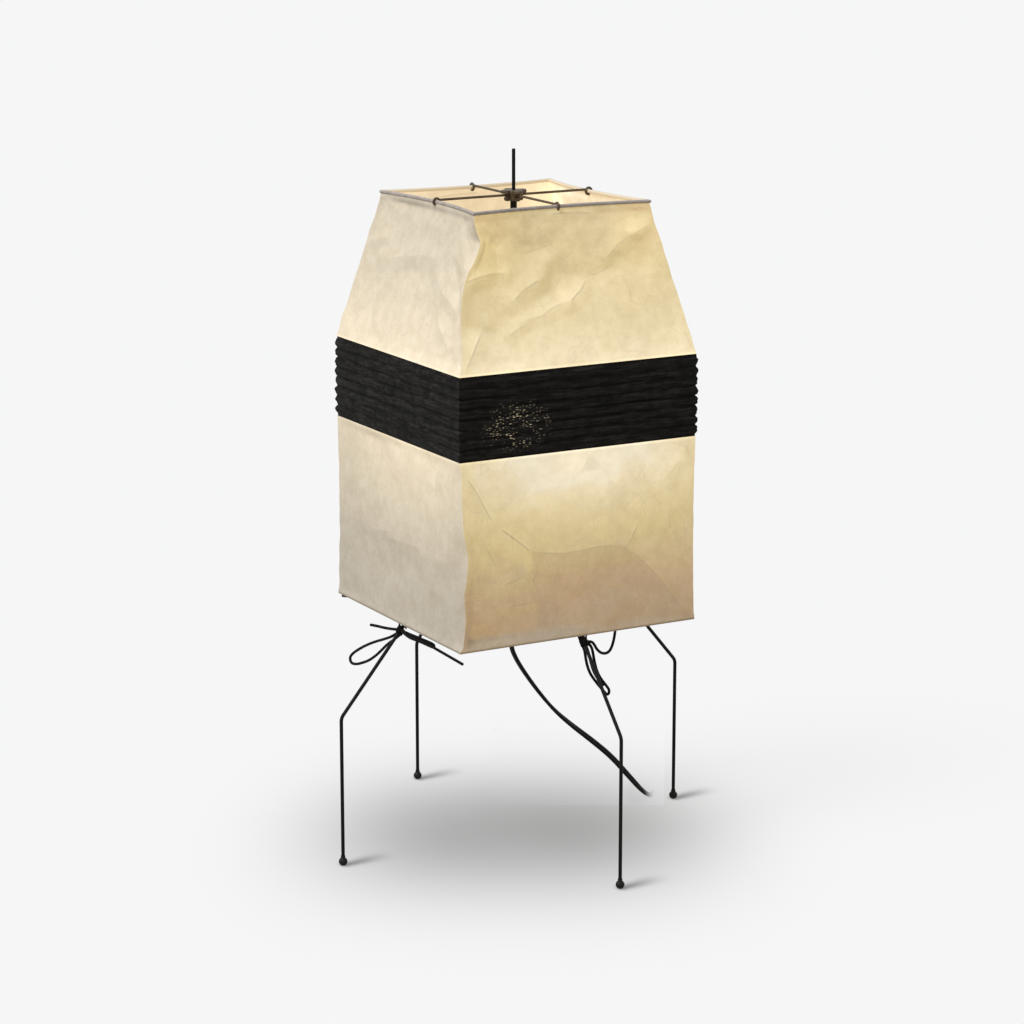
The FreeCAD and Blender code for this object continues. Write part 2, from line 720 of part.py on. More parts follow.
base_space = Part.makeBox(far, far, half_height, Vector(switch_x - far / 2, switch_middle - far / 2, 0))
cover_space = base_space.translated(up * half_height)
case_walls = switch_block(0).cut(switch_block(switch_wall))
posts = []
shanks = []
recesses = []
shank_length = switch_height - switch_wall - switch_head_recess
for sign in (-1, 1):
    spot = Vector(switch_x, switch_middle + sign * switch_screw_reach, 0)
    head_base = spot + up * switch_head_recess
    posts.append(cylinder(switch_post_radius, switch_height - switch_wall, spot + up * switch_wall / 2))
    shank = cylinder(switch_shank_radius, shank_length, head_base)
    shanks.append(shank.fuse(cylinder(switch_head_radius, switch_head_height, head_base)))
    recesses.append(cylinder(switch_head_radius, switch_head_recess, spot))
case_walls = case_walls.fuse(posts).cut(recesses + shanks)
switch_base = case_walls.common(base_space)
switch_cover = case_walls.common(cover_space)

slot_length = rocker_length + 2 * rocker_slot_play
slot_width = rocker_width + 2 * rocker_slot_play
slot_corner = Vector(switch_x - slot_width / 2, switch_middle - slot_length / 2, half_height)
slot = Part.makeBox(slot_width, slot_length, switch_height, slot_corner)
ear_side = 4 * axle_radius
ear_drop = rocker_pivot_drop + ear_side / 2
for sign in (-1, 1):
    ear_middle = switch_x + sign * (slot_width + lug_thickness) / 2
    ear_low = switch_height - ear_drop
    ear_corner = Vector(ear_middle - lug_thickness / 2, switch_middle - ear_side / 2, ear_low)
    ear = Part.makeBox(lug_thickness, ear_side, ear_drop - switch_wall / 2, ear_corner)
    switch_cover = switch_cover.fuse(ear)
axle_length = slot_width + 2 * axle_reach
axle_bore = across(axle_radius + axle_play, axle_length + 2 * axle_play, pivot)
switch_cover = switch_cover.cut(slot).cut(axle_bore)
export("switch_base", switch_base)
export("switch_cover", switch_cover)
export("switch_screws", Part.makeCompound(shanks))


def rocker_corner(sign, height):
    # On the rocker's end arc, which is concentric with its pivot.
    reach = rocker_length / 2
    return pivot + Vector(-rocker_width / 2, sign * math.sqrt(reach ** 2 - height ** 2), height)


rocker_side = pivot - sideways * rocker_width / 2
end_reach = Vector(0, rocker_length / 2, 0)
near_top, far_top = rocker_corner(-1, rocker_rise), rocker_corner(1, rocker_rise)
near_low, far_low = rocker_corner(-1, -rocker_depth), rocker_corner(1, -rocker_depth)
rocker_outline = Part.Wire([
    arc(near_top, rocker_side + up * rocker_dip, far_top),
    arc(far_top, rocker_side + end_reach, far_low),
    line(far_low, near_low),
    arc(near_low, rocker_side - end_reach, near_top),
])
rocker = Part.Face(rocker_outline).extrude(sideways * rocker_width)
rocker = rocker.fuse(across(axle_radius, axle_length, pivot))
rocker.rotate(pivot, sideways, -rocker_tilt)
export("switch_rocker", rocker)

cord_link_points = [
    Vector(230, 181, 8),
    Vector(230, 188, 8),
    Vector(230, 196.5, 5.2),
    Vector(230, 205, 3.9),
    Vector(230, 215, 3.9),
]
export("cord_link", soft_tube("cord_link", cord_link_points, cord_radius))

# Coil: spirals in on the lower layer, climbs in one half turn, and spirals out on the upper layer
low_layer = cord_link_points[-1].z
high_layer = low_layer + coil_pitch
step_in = coil_pitch / 2
coil_lead = cord_width
crossings = []
for half_turn in range(lower_half_turns + 1):
    sign = 1 if half_turn % 2 == 0 else -1
    crossings.append(Vector(coil_x + sign * (coil_outer - half_turn * step_in), coil_y, low_layer))
inner_reach = abs(crossings[-1].x - coil_x)
for half_turn in range(upper_half_turns + 1):
    sign = 1 if half_turn % 2 == 0 else -1
    crossings.append(Vector(coil_x + sign * (inner_reach + half_turn * step_in), coil_y, high_layer))
coil_edges = [line(crossings[0] - Vector(0, coil_lead, 0), crossings[0])]
for near, after in zip(crossings, crossings[1:]):
    heading = Vector(0, 1, 0) if near.x > coil_x else Vector(0, -1, 0)
    middle = (near + after) * 0.5 + heading * ((after - near).Length / 2)
    coil_edges.append(arc(near, middle, after))
coil_edges.append(line(crossings[-1], crossings[-1] + Vector(0, coil_lead, 0)))
cord_coil = swept(coil_edges, cord_radius)
coil_length = sum(edge.Length for edge in coil_edges)
coil_share = cord_coil.Volume / (math.pi * cord_radius ** 2 * coil_length)


def self_gap(edges, radius):
    # Least clear space between parts of one tube, on points a radius apart.
    marks = []
    along = 0.0
    past_bend = 4 * math.pi * radius
    for edge in edges:
        count = math.ceil(edge.Length / radius)
        span = edge.LastParameter - edge.FirstParameter
        for step in range(count):
            point = edge.valueAt(edge.FirstParameter + span * step / count)
            marks.append((along + edge.Length * step / count, point))
        along += edge.Length
    least = along
    for here, (place, point) in enumerate(marks):
        for other_place, other in marks[here + 1:]:
            if other_place - place > past_bend:
                least = min(least, point.distanceToPoint(other))
    return least - 2 * radius


print("cord_coil length", round(coil_length), "volume share", round(coil_share, 4),
      "least gap", round(self_gap(coil_edges, cord_radius), 2))
export("cord_coil", cord_coil)


def ring_band(low, high, wall, corner, width):
    # A rounded band in the XZ plane round the space from low to high, centred on the Y of both.
    solids = []
    for grow in (wall, 0):
        size = high - low + Vector(2 * grow, width + 2 * overrun * (grow == 0), 2 * grow)
        start = low - Vector(grow, size.y / 2, grow)
        block = Part.makeBox(size.x, size.y, size.z, start)
        solids.append(block.makeFillet(corner + grow, edges_along(block, outward)))
    return solids[0].cut(solids[1])


bundle_out = inner_reach + (upper_half_turns - 1) * step_in + cord_radius + tie_band_play
bundle_in = inner_reach - cord_radius - tie_band_play
bundle_low = Vector(coil_x - bundle_out, coil_y, low_layer - cord_radius)
bundle_high = Vector(coil_x - bundle_in, coil_y, high_layer + cord_radius + tie_band_play)
export("coil_tie", ring_band(bundle_low, bundle_high, tie_band, tie_band_corner, tie_band_width))

cord_end_points = [
    crossings[-1] + Vector(0, coil_lead, 0),
    crossings[-1] + Vector(0, 2 * coil_lead, 0),
    Vector(232.9, 244, 9.4),
    Vector(229.5, 256, 6.4),
    Vector(222, 268, 4),
    Vector(210, 277, 3.6),
    Vector(196, 282, 7),
    Vector(183, 282, 7),
]
export("cord_end", soft_tube("cord_end", cord_end_points, cord_radius))

# Plug: a rounded body with two flat blades
plug_back = cord_end_points[-1]
plug_corner = plug_back - Vector(plug_length, plug_width / 2, plug_height / 2)
plug_body = Part.makeBox(plug_length, plug_width, plug_height, plug_corner)
plug_body = plug_body.makeFillet(plug_edge, edges_along(plug_body, sideways))
back_edges = [edge for edge in plug_body.Edges if edge.BoundBox.XMin > plug_back.x - least_sag]
plug_body = plug_body.makeFillet(plug_edge / 2, back_edges)
front_x = plug_back.x - plug_length
blades = []
for sign in (-1, 1):
    blade_y = plug_back.y + sign * blade_spacing / 2 - blade_thickness / 2
    blade_low = Vector(front_x - blade_length, blade_y, plug_back.z - blade_height / 2)
    blade = Part.makeBox(blade_length + blade_root, blade_thickness, blade_height, blade_low)
    half_way = front_x - blade_length / 2
    tip_edges = [edge for edge in edges_along(blade, outward) if edge.BoundBox.XMax < half_way]
    blade = blade.makeFillet(blade_thickness, tip_edges)
    hole_start = Vector(front_x - blade_length + blade_hole_back, blade_y - overrun, plug_back.z)
    blades.append(blade.cut(cylinder(blade_hole, far, hole_start, outward * -1)))
export("plug_body", plug_body.cut(blades))
export("plug_blades", Part.makeCompound(blades))

# Strings that tie the bottom rim to the legs, drawn for the front side: a knot round the leg
# just below the rim, two wraps over the rim through the paper, and loops and ends that hang free
slope = Vector(0, shoulder_reach - leg_spread, knee_height - spoke_height).normalize()
collar_start = Vector(0, -shoulder_reach, spoke_height) + slope * (collar_along - collar_length / 2)
collar_inner = leg_wire / 2 + collar_gap
collar = hollow(collar_inner + 2 * string_radius, collar_inner, collar_length, collar_start, slope)
wrap_low = spoke_height - leg_wire / 2 - collar_gap - string_radius
wrap_out = bottom_half + wrap_play + string_radius
wrap_in = bottom_rim_half - rim_wire / 2 - wrap_play - string_radius
wraps = []
for beside in (-wrap_side, wrap_side):
    half_way = (wrap_low + wrap_top) / 2
    wrap_points = [
        Vector(beside, -wrap_out, half_way),
        Vector(beside, -wrap_out, wrap_top),
        Vector(beside, -wrap_in, wrap_top),
        Vector(beside, -wrap_in, wrap_low),
        Vector(beside, -wrap_out, wrap_low),
        Vector(beside, -wrap_out, half_way),
    ]
    wraps.append(swept(rounded_path(wrap_points, [wrap_corner] * 4), string_radius))

side_strings = [
    [(-3, -128.9, 228.4), (-11, -131, 227.2), (-27, -132, 225), (-41, -132, 223.6),
     (-53.7, -132, 221.7)],
    [(-2.4, -127.9, 226.9), (-11, -131, 220), (-27.4, -132, 213.3), (-46.7, -132, 206),
     (-66.2, -132, 197.4), (-83.2, -132, 188.4), (-92.5, -132, 182.2), (-96.6, -132, 178),
     (-95.6, -132, 174.6), (-90.5, -132, 173.6), (-82, -132, 175), (-75, -132, 177.2),
     (-61, -132, 182.8), (-47, -132, 190.6), (-33, -131.5, 200.7), (-22, -131, 209.6),
     (-10, -128.6, 217.6), (0.6, -126.4, 226.1)],
    [(3, -130, 229.4), (20, -132, 231.4), (36, -132, 232.4), (52, -132, 233),
     (68, -132, 233.2), (69.7, -132, 231.5), (69.7, -132, 229.2), (68, -132, 227.6),
     (52, -132, 227.3), (36, -132, 226.6), (20, -132, 225.4), (3, -127.8, 227.4)],
    [(3, -128.9, 228.4), (22, -134.6, 228.8), (44, -134.6, 230), (66, -134.6, 230.4),
     (84, -134.6, 229.2), (106, -134.6, 228), (128.6, -134.6, 226.6)],
]
front_strings = [
    [(-1, -126.6, 226.2), (1.8, -127.3, 220.6), (3, -127.5, 211.8), (5.1, -127.5, 202.9),
     (8.6, -127.5, 194.9), (14.2, -127.5, 187.2), (20, -127.5, 179.9), (24, -127.5, 175.1),
     (26, -127.5, 172.9), (28.6, -127.5, 172.9), (30.6, -127.5, 174.6), (30.9, -127.5, 177),
     (28.9, -127.5, 180), (25, -127.5, 184.2), (20.2, -127.5, 190.2), (15.8, -127.5, 198.9),
     (12.9, -127.5, 209.3), (10.6, -127.5, 219.5), (7.5, -127.9, 225), (3.4, -128.6, 228)],
    [(2, -126.6, 226.6), (5.5, -125, 222.5), (8.6, -124.4, 215), (11.3, -124.4, 204),
     (14.9, -124.4, 194.4), (20.6, -124.4, 185.6), (25.2, -124.4, 180)],
    [(3.2, -128.9, 228.4), (8, -130, 228.6), (10.8, -131, 224.6), (13, -131.8, 220),
     (17.5, -132, 215.8), (24, -130.8, 213.9), (30, -128.8, 215.4), (34.3, -126.6, 220),
     (37.6, -124.6, 226.5), (39.6, -123, 232), (40.6, -122.4, 238)],
]


def tie_form(name, strings):
    strands = []
    for places in strings:
        string_points = [Vector(*place) for place in places]
        strands.append(soft_tube(name, string_points, string_radius))
    return collar.fuse(wraps + strands)


# The right tie's loops lie the other way round, and its long end is cut short
right_strings = [[(-x, y, z) for x, y, z in places] for places in side_strings]
right_strings[-1] = right_strings[-1][:-2]
ties = {"front": front_strings, "left": side_strings, "back": side_strings, "right": right_strings}
for side, degrees in sides.items():
    string_tie = tie_form(side + " tie string", ties[side])
    export("tie_" + side, turned(string_tie, degrees + stand_turn))
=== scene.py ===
import math

import bpy
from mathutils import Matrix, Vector, noise


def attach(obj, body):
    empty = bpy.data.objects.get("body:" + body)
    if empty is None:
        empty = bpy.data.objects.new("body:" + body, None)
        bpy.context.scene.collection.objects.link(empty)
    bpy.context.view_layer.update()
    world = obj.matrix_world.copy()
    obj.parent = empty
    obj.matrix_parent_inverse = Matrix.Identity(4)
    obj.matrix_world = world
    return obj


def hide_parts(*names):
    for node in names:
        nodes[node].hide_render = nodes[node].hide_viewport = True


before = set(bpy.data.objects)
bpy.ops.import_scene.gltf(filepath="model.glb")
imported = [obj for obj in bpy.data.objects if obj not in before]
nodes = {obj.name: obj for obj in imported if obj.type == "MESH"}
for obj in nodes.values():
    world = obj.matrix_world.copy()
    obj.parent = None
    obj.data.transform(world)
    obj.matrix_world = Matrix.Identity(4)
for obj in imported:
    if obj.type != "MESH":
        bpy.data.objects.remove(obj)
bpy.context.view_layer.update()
mm = 0.001


# Small helpers


def putAwaySelection():
    bpy.ops.object.select_all(action="DESELECT")


def renamed(name):
    piece = bpy.context.active_object
    piece.name = name
    piece.data.name = name
    return piece


def makeActive(piece):
    putAwaySelection()
    piece.select_set(True)
    bpy.context.view_layer.objects.active = piece


def joinTo(piece, body, slot, *replaced):
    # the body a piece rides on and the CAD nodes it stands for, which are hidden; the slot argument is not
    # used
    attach(piece, body)
    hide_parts(*replaced)


def settle(piece):
    # puts the place, turn and size of a finished piece into its mesh
    makeActive(piece)
    bpy.ops.object.transform_apply(location=True, rotation=True, scale=True)


def selectFaces(piece, rule):
    # leaves the piece in edit mode with the faces that meet the rule selected
    makeActive(piece)
    bpy.ops.object.mode_set(mode="EDIT")
    bpy.ops.mesh.select_mode(type="FACE")
    bpy.ops.mesh.select_all(action="DESELECT")
    bpy.ops.object.mode_set(mode="OBJECT")
    for face in piece.data.polygons:
        face.select = rule(face)
    bpy.ops.object.mode_set(mode="EDIT")


def selectEdges(piece, rule):
    # the same for the edges whose two ends meet the rule
    bpy.ops.mesh.select_mode(type="EDGE")
    bpy.ops.mesh.select_all(action="DESELECT")
    bpy.ops.object.mode_set(mode="OBJECT")
    for edge in piece.data.edges:
        edge.select = rule(*(piece.data.vertices[index].co for index in edge.vertices))
    bpy.ops.object.mode_set(mode="EDIT")


def finishWith(piece, kind, **settings):
    makeActive(piece)
    bpy.ops.object.modifier_add(type=kind)
    modifier = piece.modifiers[-1]
    for name, value in settings.items():
        setattr(modifier, name, value)
    bpy.ops.object.modifier_apply(modifier=modifier.name)


# Camera, at the photograph's place: every length in millimetres

cameraValues = {
    "place": (-1418.4, -2540.0, 1015.5),
    "downward": 13.25,
    "turn": -29.15,
    "lens": 106.75,
    "sensor": 36.0,
}
cameraPlace = Vector(cameraValues["place"]) * mm
cameraTurn = (math.radians(90 - cameraValues["downward"]), 0, math.radians(cameraValues["turn"]))
bpy.ops.object.camera_add(location=cameraPlace, rotation=cameraTurn)
camera = renamed("photoCamera")
camera.data.lens = cameraValues["lens"]
camera.data.sensor_width = cameraValues["sensor"]
bpy.context.scene.camera = camera
print("camera placed")


# Cord: a flat black flex, from the grommet under the boss to its plug, in millimetres

cordValues = {
    "width": 6.0,
    "thickness": 3.6,
    "groove": 0.5,
    "dropLength": 397.1,
    "restLength": 1361.6,
    "lowLayer": 2.0,
    "highLayer": 5.8,
}
dropRoute = [
    (-7, -7, 206.45), (-7, -7, 196.45), (-2, -6.6, 184), (8, -6, 168), (24, -5, 146), (45, -3, 121),
    (68, -1, 100.5), (92, 1, 81), (117, 3, 59), (139, 5, 34), (158, 7, 13), (175, 17, 3), (190, 36, 2),
    (206, 55, 2), (218, 71, 2.6), (226.5, 84, 4.6), (230, 96, 7), (230, 106, 8), (230, 116, 8),
]
dropTwist = [0, 0, 0, 0, 5, 20, 50, 75, 80, 75, 50, 20, 0, 0, 0, 0, 0, 0, 0]
linkRoute = [(230, 181, 8), (230, 188, 8), (230, 196.5, 5), (230, 205, 2.4), (230, 215, 2)]
endRoute = [
    (233.85, 227, 5.8), (233.85, 233, 5.4), (232.9, 244, 4.2), (229.5, 256, 2.6),
    (222, 268, 2.2), (210, 277, 3), (196, 282, 7), (183, 282, 7),
]
coilValues = {
    "middle": (188.0, 221.0),
    "outer": 42.0,
    "stepIn": 3.85,
    "lowerHalfTurns": 5,
    "upperHalfTurns": 6,
    "pointsPerHalfTurn": 8,
}


def coilRoute():
    # half turns spiral in on the lower layer, climb, and spiral out on the upper one
    middleX, middleY = coilValues["middle"]
    stepIn, lowTurns = coilValues["stepIn"], coilValues["lowerHalfTurns"]
    reaches = [coilValues["outer"] - step * stepIn for step in range(lowTurns + 1)]
    reaches += [reaches[-1] + step * stepIn for step in range(coilValues["upperHalfTurns"] + 1)]
    count = coilValues["pointsPerHalfTurn"]
    outgrow = 1 / math.cos(math.pi / count / 2)
    route = []
    for half in range(len(reaches) - 1):
        sign = 1 if half % (lowTurns + 1) % 2 == 0 else -1
        near, far = sign * reaches[half], -sign * reaches[half + 1]
        side = 1 if near > 0 else -1
        centre, radius = (near + far) / 2, abs(near - far) / 2 * outgrow
        for step in range(count):
            share = (step + 0.5) / count
            turn = math.pi * share
            climb = share if half == lowTurns else float(half > lowTurns)
            height = cordValues["lowLayer"] + climb * (cordValues["highLayer"] - cordValues["lowLayer"])
            route.append((middleX + centre + side * radius * math.cos(turn),
                          middleY + side * radius * math.sin(turn), height))
    return route


def flexProfile():
    # the flex's figure of eight, drawn as a small closed curve
    half = cordValues["width"] / 2
    bead = cordValues["thickness"] / 2
    waist = bead - cordValues["groove"]
    outline = []
    for sign in (1, -1):
        centre = sign * (half - bead)
        for step in range(-4, 5):
            turn = step * math.pi / 8 + (0 if sign > 0 else math.pi)
            outline.append((centre + bead * math.cos(turn), bead * math.sin(turn)))
        outline.append((0, waist if sign > 0 else -waist))
    bpy.ops.curve.primitive_bezier_circle_add(radius=1)
    profile = renamed("flexProfile")
    profile.data.splines.clear()
    spline = profile.data.splines.new("POLY")
    spline.points.add(len(outline) - 1)
    for point, (x, y) in zip(spline.points, outline):
        point.co = (x / half, y / half, 0, 1)
    spline.use_cyclic_u = True
    return profile


def cordCurve(name, route, radius, twist=()):
    # the points carry the radius, in millimetres, and the profile is drawn for a radius of one
    bpy.ops.curve.primitive_nurbs_path_add(location=(0, 0, 0))
    cord = renamed(name)
    cord.data.splines.clear()
    spline = cord.data.splines.new("NURBS")
    spline.points.add(len(route) - 1)
    for point, place in zip(spline.points, route):
        point.co = (place[0] * mm, place[1] * mm, place[2] * mm, 1)
        point.radius = radius * mm
    for point, degrees in zip(spline.points, twist):
        point.tilt = math.radians(degrees)
    spline.order_u = 3
    spline.use_endpoint_u = True
    spline.resolution_u = 10
    spline.use_smooth = True
    cord.data.dimensions = "3D"
    cord.data.use_fill_caps = True
    return cord


flex = flexProfile()
cordDrop = cordCurve("cordDropFlex", dropRoute, cordValues["width"] / 2, dropTwist)
cordRest = cordCurve("cordStoredFlex", linkRoute + coilRoute() + endRoute, cordValues["width"] / 2)
for cord in (cordDrop, cordRest):
    cord.data.bevel_mode = "OBJECT"
    cord.data.bevel_object = flex
    cord.data.twist_mode = "Z_UP"
joinTo(cordDrop, "stand", "cord", "cord_drop")
joinTo(cordRest, "stand", "cord", "cord_link", "cord_coil", "cord_end")
print("cords laid")


# Papers: creased sheets folded round the wires, in millimetres

paperValues = {
    "wall": 0.5,
    "hem": 5.0,                  # doubled edge
    "hemRise": 0.4,
    "columnsPerSide": 116,
    "upper": {
        "low": 497.6, "high": 640.4, "lowHalf": 128.6, "highHalf": 94.3, "rows": 74,
        "sags": ((0.0, 0.2), (0.35, 2.4), (0.7, 5.9), (1.0, 10.0)), "waist": 0.0,
    },
    "lower": {
        "low": 235.0, "high": 417.4, "lowHalf": 129.2, "highHalf": 128.6, "rows": 92,
        "sags": ((0.0, 0.2), (0.33, 2.8), (0.67, 2.9), (1.0, 0.2)), "waist": 1.0,
    },
    "facets": ((46.0, 2.8), (21.0, 0.9), (9.0, 0.2)),   # size and height
    "drapeSize": 90.0,
    "drapeHeight": 1.2,
    "cornerWaver": 0.7,
    "foldReach": 26.0,           # how far a dented corner draws its faces along
    "lineReach": 4.0,            # how far from a crease its painted line of shade and highlight reaches
}
# how far the near corner's fold is pushed in, at heights over the floor
foldDents = {
    "upper": (
        (498, 0), (507, 1.5), (518, 0.5), (532, -1.5), (550, -4.0), (567, -5.0), (582, -3.2), (592, 0.5),
        (599, 4.5), (608, 8.0), (616, 9.5), (624, 5.0), (633, 1.0), (641, 0)),
    "lower": (
        (235, 0), (242, 3.5), (255, 5.0), (268, 5.6), (283, 4.6), (293, 4.0), (304, 6.4), (318, 8.0),
        (327, 8.0), (340, 5.6), (354, 3.3), (385, 2.0), (404, 1.8), (417, 0)),
}
# creases on a side: places along it and over the floor, height, reach, and how sharp its painted line of
# shade and highlight is
sideCreases = {
    "upper": (
        (((-113, 580), (-97, 585), (-82, 587), (-65, 586)), 1.6, 13, 0.8),
        (((-62, 561), (-49, 570), (-31, 578)), 1.7, 14, 1.0),
        (((-123, 503), (-109, 523), (-95, 540)), 1.8, 14, 1.0),
        (((-2, 556), (10, 564), (20, 574)), 1.6, 13, 1.0),
        (((-54, 542), (-34, 545), (-21, 552), (-5, 556)), 1.3, 12, 0.6),
        (((-72, 529), (-54, 539)), 1.2, 10, 0.6),
        (((-42, 602), (-24, 606), (-7, 610)), -1.2, 13, 0.6),
        (((43, 591), (57, 604), (75, 614)), 1.4, 14, 0.6),
        (((11, 576), (33, 579), (53, 587)), -1.4, 13, 0.5),
        (((-9, 636), (9, 636), (38, 634)), 0.8, 7, 0.9),
        (((-91, 632), (-77, 622)), 1.0, 9, 0.5),
        (((-73, 610), (-75, 583)), -1.2, 12, 0.5),
        (((118, 521), (124, 503)), 1.2, 10, 0.6),
        (((75, 613), (93, 621)), 1.0, 9, 0.5),
    ),
    "upperLeft": (
        (((-87, 635), (-61, 625)), 1.2, 10, 0.7),
        (((73, 628), (84, 615), (94, 604)), -1.8, 9, 0.9),
        (((68, 591), (82, 580), (95, 562), (104, 549)), -1.8, 9, 0.9),
        (((42, 578), (61, 564), (92, 554)), 1.4, 11, 0.8),
        (((54, 554), (67, 536), (100, 512)), 1.3, 11, 0.7),
        (((103, 514), (119, 502)), -1.2, 8, 0.8),
        (((-69, 580), (-1, 592), (35, 592)), 1.2, 14, 0.45),
        (((-96, 595), (-71, 601)), 0.9, 9, 0.4),
    ),
    "lower": (
        (((-124, 404), (-109, 383), (-93, 356)), 2.6, 17, 0.75),
        (((-86, 351), (-69, 338), (-52, 324)), 2.4, 18, 1.0),
        (((-52, 324), (-17, 318), (18, 320), (47, 319)), 1.9, 20, 0.6),
        (((49, 314), (58, 322), (67, 337)), 1.7, 12, 1.0),
        (((95, 377), (112, 396)), 1.2, 12, 0.5),
        (((62, 310), (84, 288), (102, 265), (118, 245)), 2.2, 20, 0.6),
        (((-100, 334), (-88, 313)), 1.3, 11, 0.9),
        (((-81, 295), (-59, 301)), 1.2, 11, 0.7),
        (((-75, 273), (-48, 274)), 1.1, 10, 0.7),
        (((-42, 305), (-48, 294), (-41, 282)), -1.0, 10, 0.4),
    ),
    "lowerLeft": (
        (((89, 403), (78, 388)), 1.3, 10, 0.8),
        (((-55, 316), (-18, 321)), 1.3, 12, 0.7),
        (((-78, 353), (-53, 364)), 1.0, 10, 0.5),
        (((105, 273), (110, 263)), 1.1, 9, 0.8),
        (((-24, 314), (38, 317), (44, 309)), 1.3, 14, 0.5),
        (((64, 284), (99, 281)), 1.0, 10, 0.5),
    ),
}
# where the lamp holder's shade falls on a side: corners along it and over the floor
holderShade = {
    "lower": ((-52, 324), (-17, 318), (18, 320), (47, 319), (62, 310), (84, 288), (102, 265), (130, 233),
              (130, 220), (-49, 220), (-41, 282), (-48, 294)),
    "lowerLeft": ((-140, 315), (-96, 319), (-59, 317), (-24, 314), (38, 317), (44, 309), (90, 316),
                  (140, 321), (140, 220), (-140, 220)),
}


def between(pairs, place):
    # straight interpolation in a list of (place, value)
    for (before, low), (after, high) in zip(pairs, pairs[1:]):
        if place <= after:
            share = max(0.0, (place - before) / (after - before))
            return low + (high - low) * share
    return pairs[-1][1]


def softStep(low, high, value):
    share = min(1.0, max(0.0, (value - low) / (high - low)))
    return share * share * (3 - 2 * share)


def facetHeight(run, rise, size, seed):
    # flat three-cornered facets between points of chance height
    turned = (run * 0.83 + rise * 0.56) / size
    lifted = (rise * 0.83 - run * 0.56) / size
    drift = noise.noise_vector(Vector((turned * 0.7, lifted * 0.7, seed)))
    turned, lifted = turned + drift.x * 0.55, lifted + drift.y * 0.55
    column, row = math.floor(turned), math.floor(lifted)
    across, up = turned - column, lifted - row

    def chance(stepX, stepY):
        return noise.cell(Vector((column + stepX + 0.5, row + stepY + 0.5, seed + 0.5)))

    if noise.cell(Vector((column + 0.5, row + 0.5, seed + 7.5))) > 0.5:
        if across > up:
            return chance(0, 0) + (chance(1, 0) - chance(0, 0)) * across + (chance(1, 1) - chance(1, 0)) * up
        return chance(0, 0) + (chance(1, 1) - chance(0, 1)) * across + (chance(0, 1) - chance(0, 0)) * up
    if across + up < 1:
        return chance(0, 0) + (chance(1, 0) - chance(0, 0)) * across + (chance(0, 1) - chance(0, 0)) * up
    return (chance(1, 1) + (chance(0, 1) - chance(1, 1)) * (1 - across)
            + (chance(1, 0) - chance(1, 1)) * (1 - up))


def toStretch(run, rise, start, end):
    # gap to a straight stretch, which side of it, and how far along
    alongX, alongZ = end[0] - start[0], end[1] - start[1]
    offX, offZ = run - start[0], rise - start[1]
    length = math.hypot(alongX, alongZ)
    share = min(1.0, max(0.0, (offX * alongX + offZ * alongZ) / length / length))
    gap = math.hypot(offX - share * alongX, offZ - share * alongZ)
    return gap, math.copysign(1, alongX * offZ - alongZ * offX), share


def creaseAt(run, rise, folds):
    # the folds' height at a place, the side and distance of the nearest line, and how much its painted shade
    # and highlight shows there
    total, signedGap, showing = 0.0, 9.0, 0.0
    for places, height, reach, sharp in folds:
        stretches = list(zip(places, places[1:]))
        found = [toStretch(run, rise, start, end) for start, end in stretches]
        gap, side, travelled = min(
            (off, facing, index + share) for index, (off, facing, share) in enumerate(found))
        total += height * max(0.0, 1 - gap / reach)
        travelled /= len(stretches)
        shows = sharp * softStep(paperValues["lineReach"] + 1, paperValues["lineReach"] - 1, gap)
        shows *= softStep(0, 0.15, travelled) * softStep(1, 0.85, travelled)
        if shows > showing:
            signedGap, showing = gap * side, shows
    return total, signedGap, showing


def insideBy(run, rise, outline):
    # distance to an outline, more than nothing inside it
    inside, nearest = False, 99.0
    for start, end in zip(outline, outline[1:] + outline[:1]):
        nearest = min(nearest, toStretch(run, rise, start, end)[0])
        if (start[1] > rise) != (end[1] > rise):
            if run < start[0] + (end[0] - start[0]) * (rise - start[1]) / (end[1] - start[1]):
                inside = not inside
    return nearest if inside else -nearest


def creases(side, run, rise):
    seed = sideNames.index(side) * 11.0
    total = 0.0
    for size, height in paperValues["facets"]:
        calm = 0.35 + 0.65 * softStep(-0.2, 0.3, noise.noise(Vector((run / 70, rise / 70, seed + size))))
        total += (facetHeight(run, rise, size, seed + size) - 0.5) * height * calm
    drape = noise.noise(Vector((run, rise * 0.45, seed * 9)) / paperValues["drapeSize"])
    return total + drape * paperValues["drapeHeight"]


sideNames = ("front", "left", "back", "right")


def openTube(name, half, low, high, columns, rows):
    # a square tube of paper, open above and below
    bpy.ops.mesh.primitive_cube_add(size=1, location=(0, 0, (low + high) / 2 * mm))
    piece = renamed(name)
    piece.scale = (2 * half * mm, 2 * half * mm, (high - low) * mm)
    settle(piece)
    selectFaces(piece, lambda face: abs(face.normal.z) > 0.5)
    bpy.ops.mesh.delete(type="ONLY_FACE")
    for upright, cuts in ((True, rows - 1), (False, columns - 1)):
        selectEdges(piece, lambda first, second: (abs(first.z - second.z) > 1e-6) == upright)
        bpy.ops.mesh.subdivide(number_cuts=cuts)
    bpy.ops.object.mode_set(mode="OBJECT")
    return piece


def sideOf(place, half):
    # side, outward direction, tangent and the share along the side of a point of a square tube
    x, y = place.x / half, place.y / half
    if abs(abs(x) - abs(y)) < 1e-4:
        return "corner", Vector((math.copysign(1, x), math.copysign(1, y), 0)), Vector((0, 0, 0)), 1.0
    if abs(y) > abs(x):
        sign = math.copysign(1, y)
        return ("back" if y > 0 else "front"), Vector((0, sign, 0)), Vector((-sign, 0, 0)), -sign * x
    sign = math.copysign(1, x)
    return ("right" if x > 0 else "left"), Vector((sign, 0, 0)), Vector((0, sign, 0)), sign * y


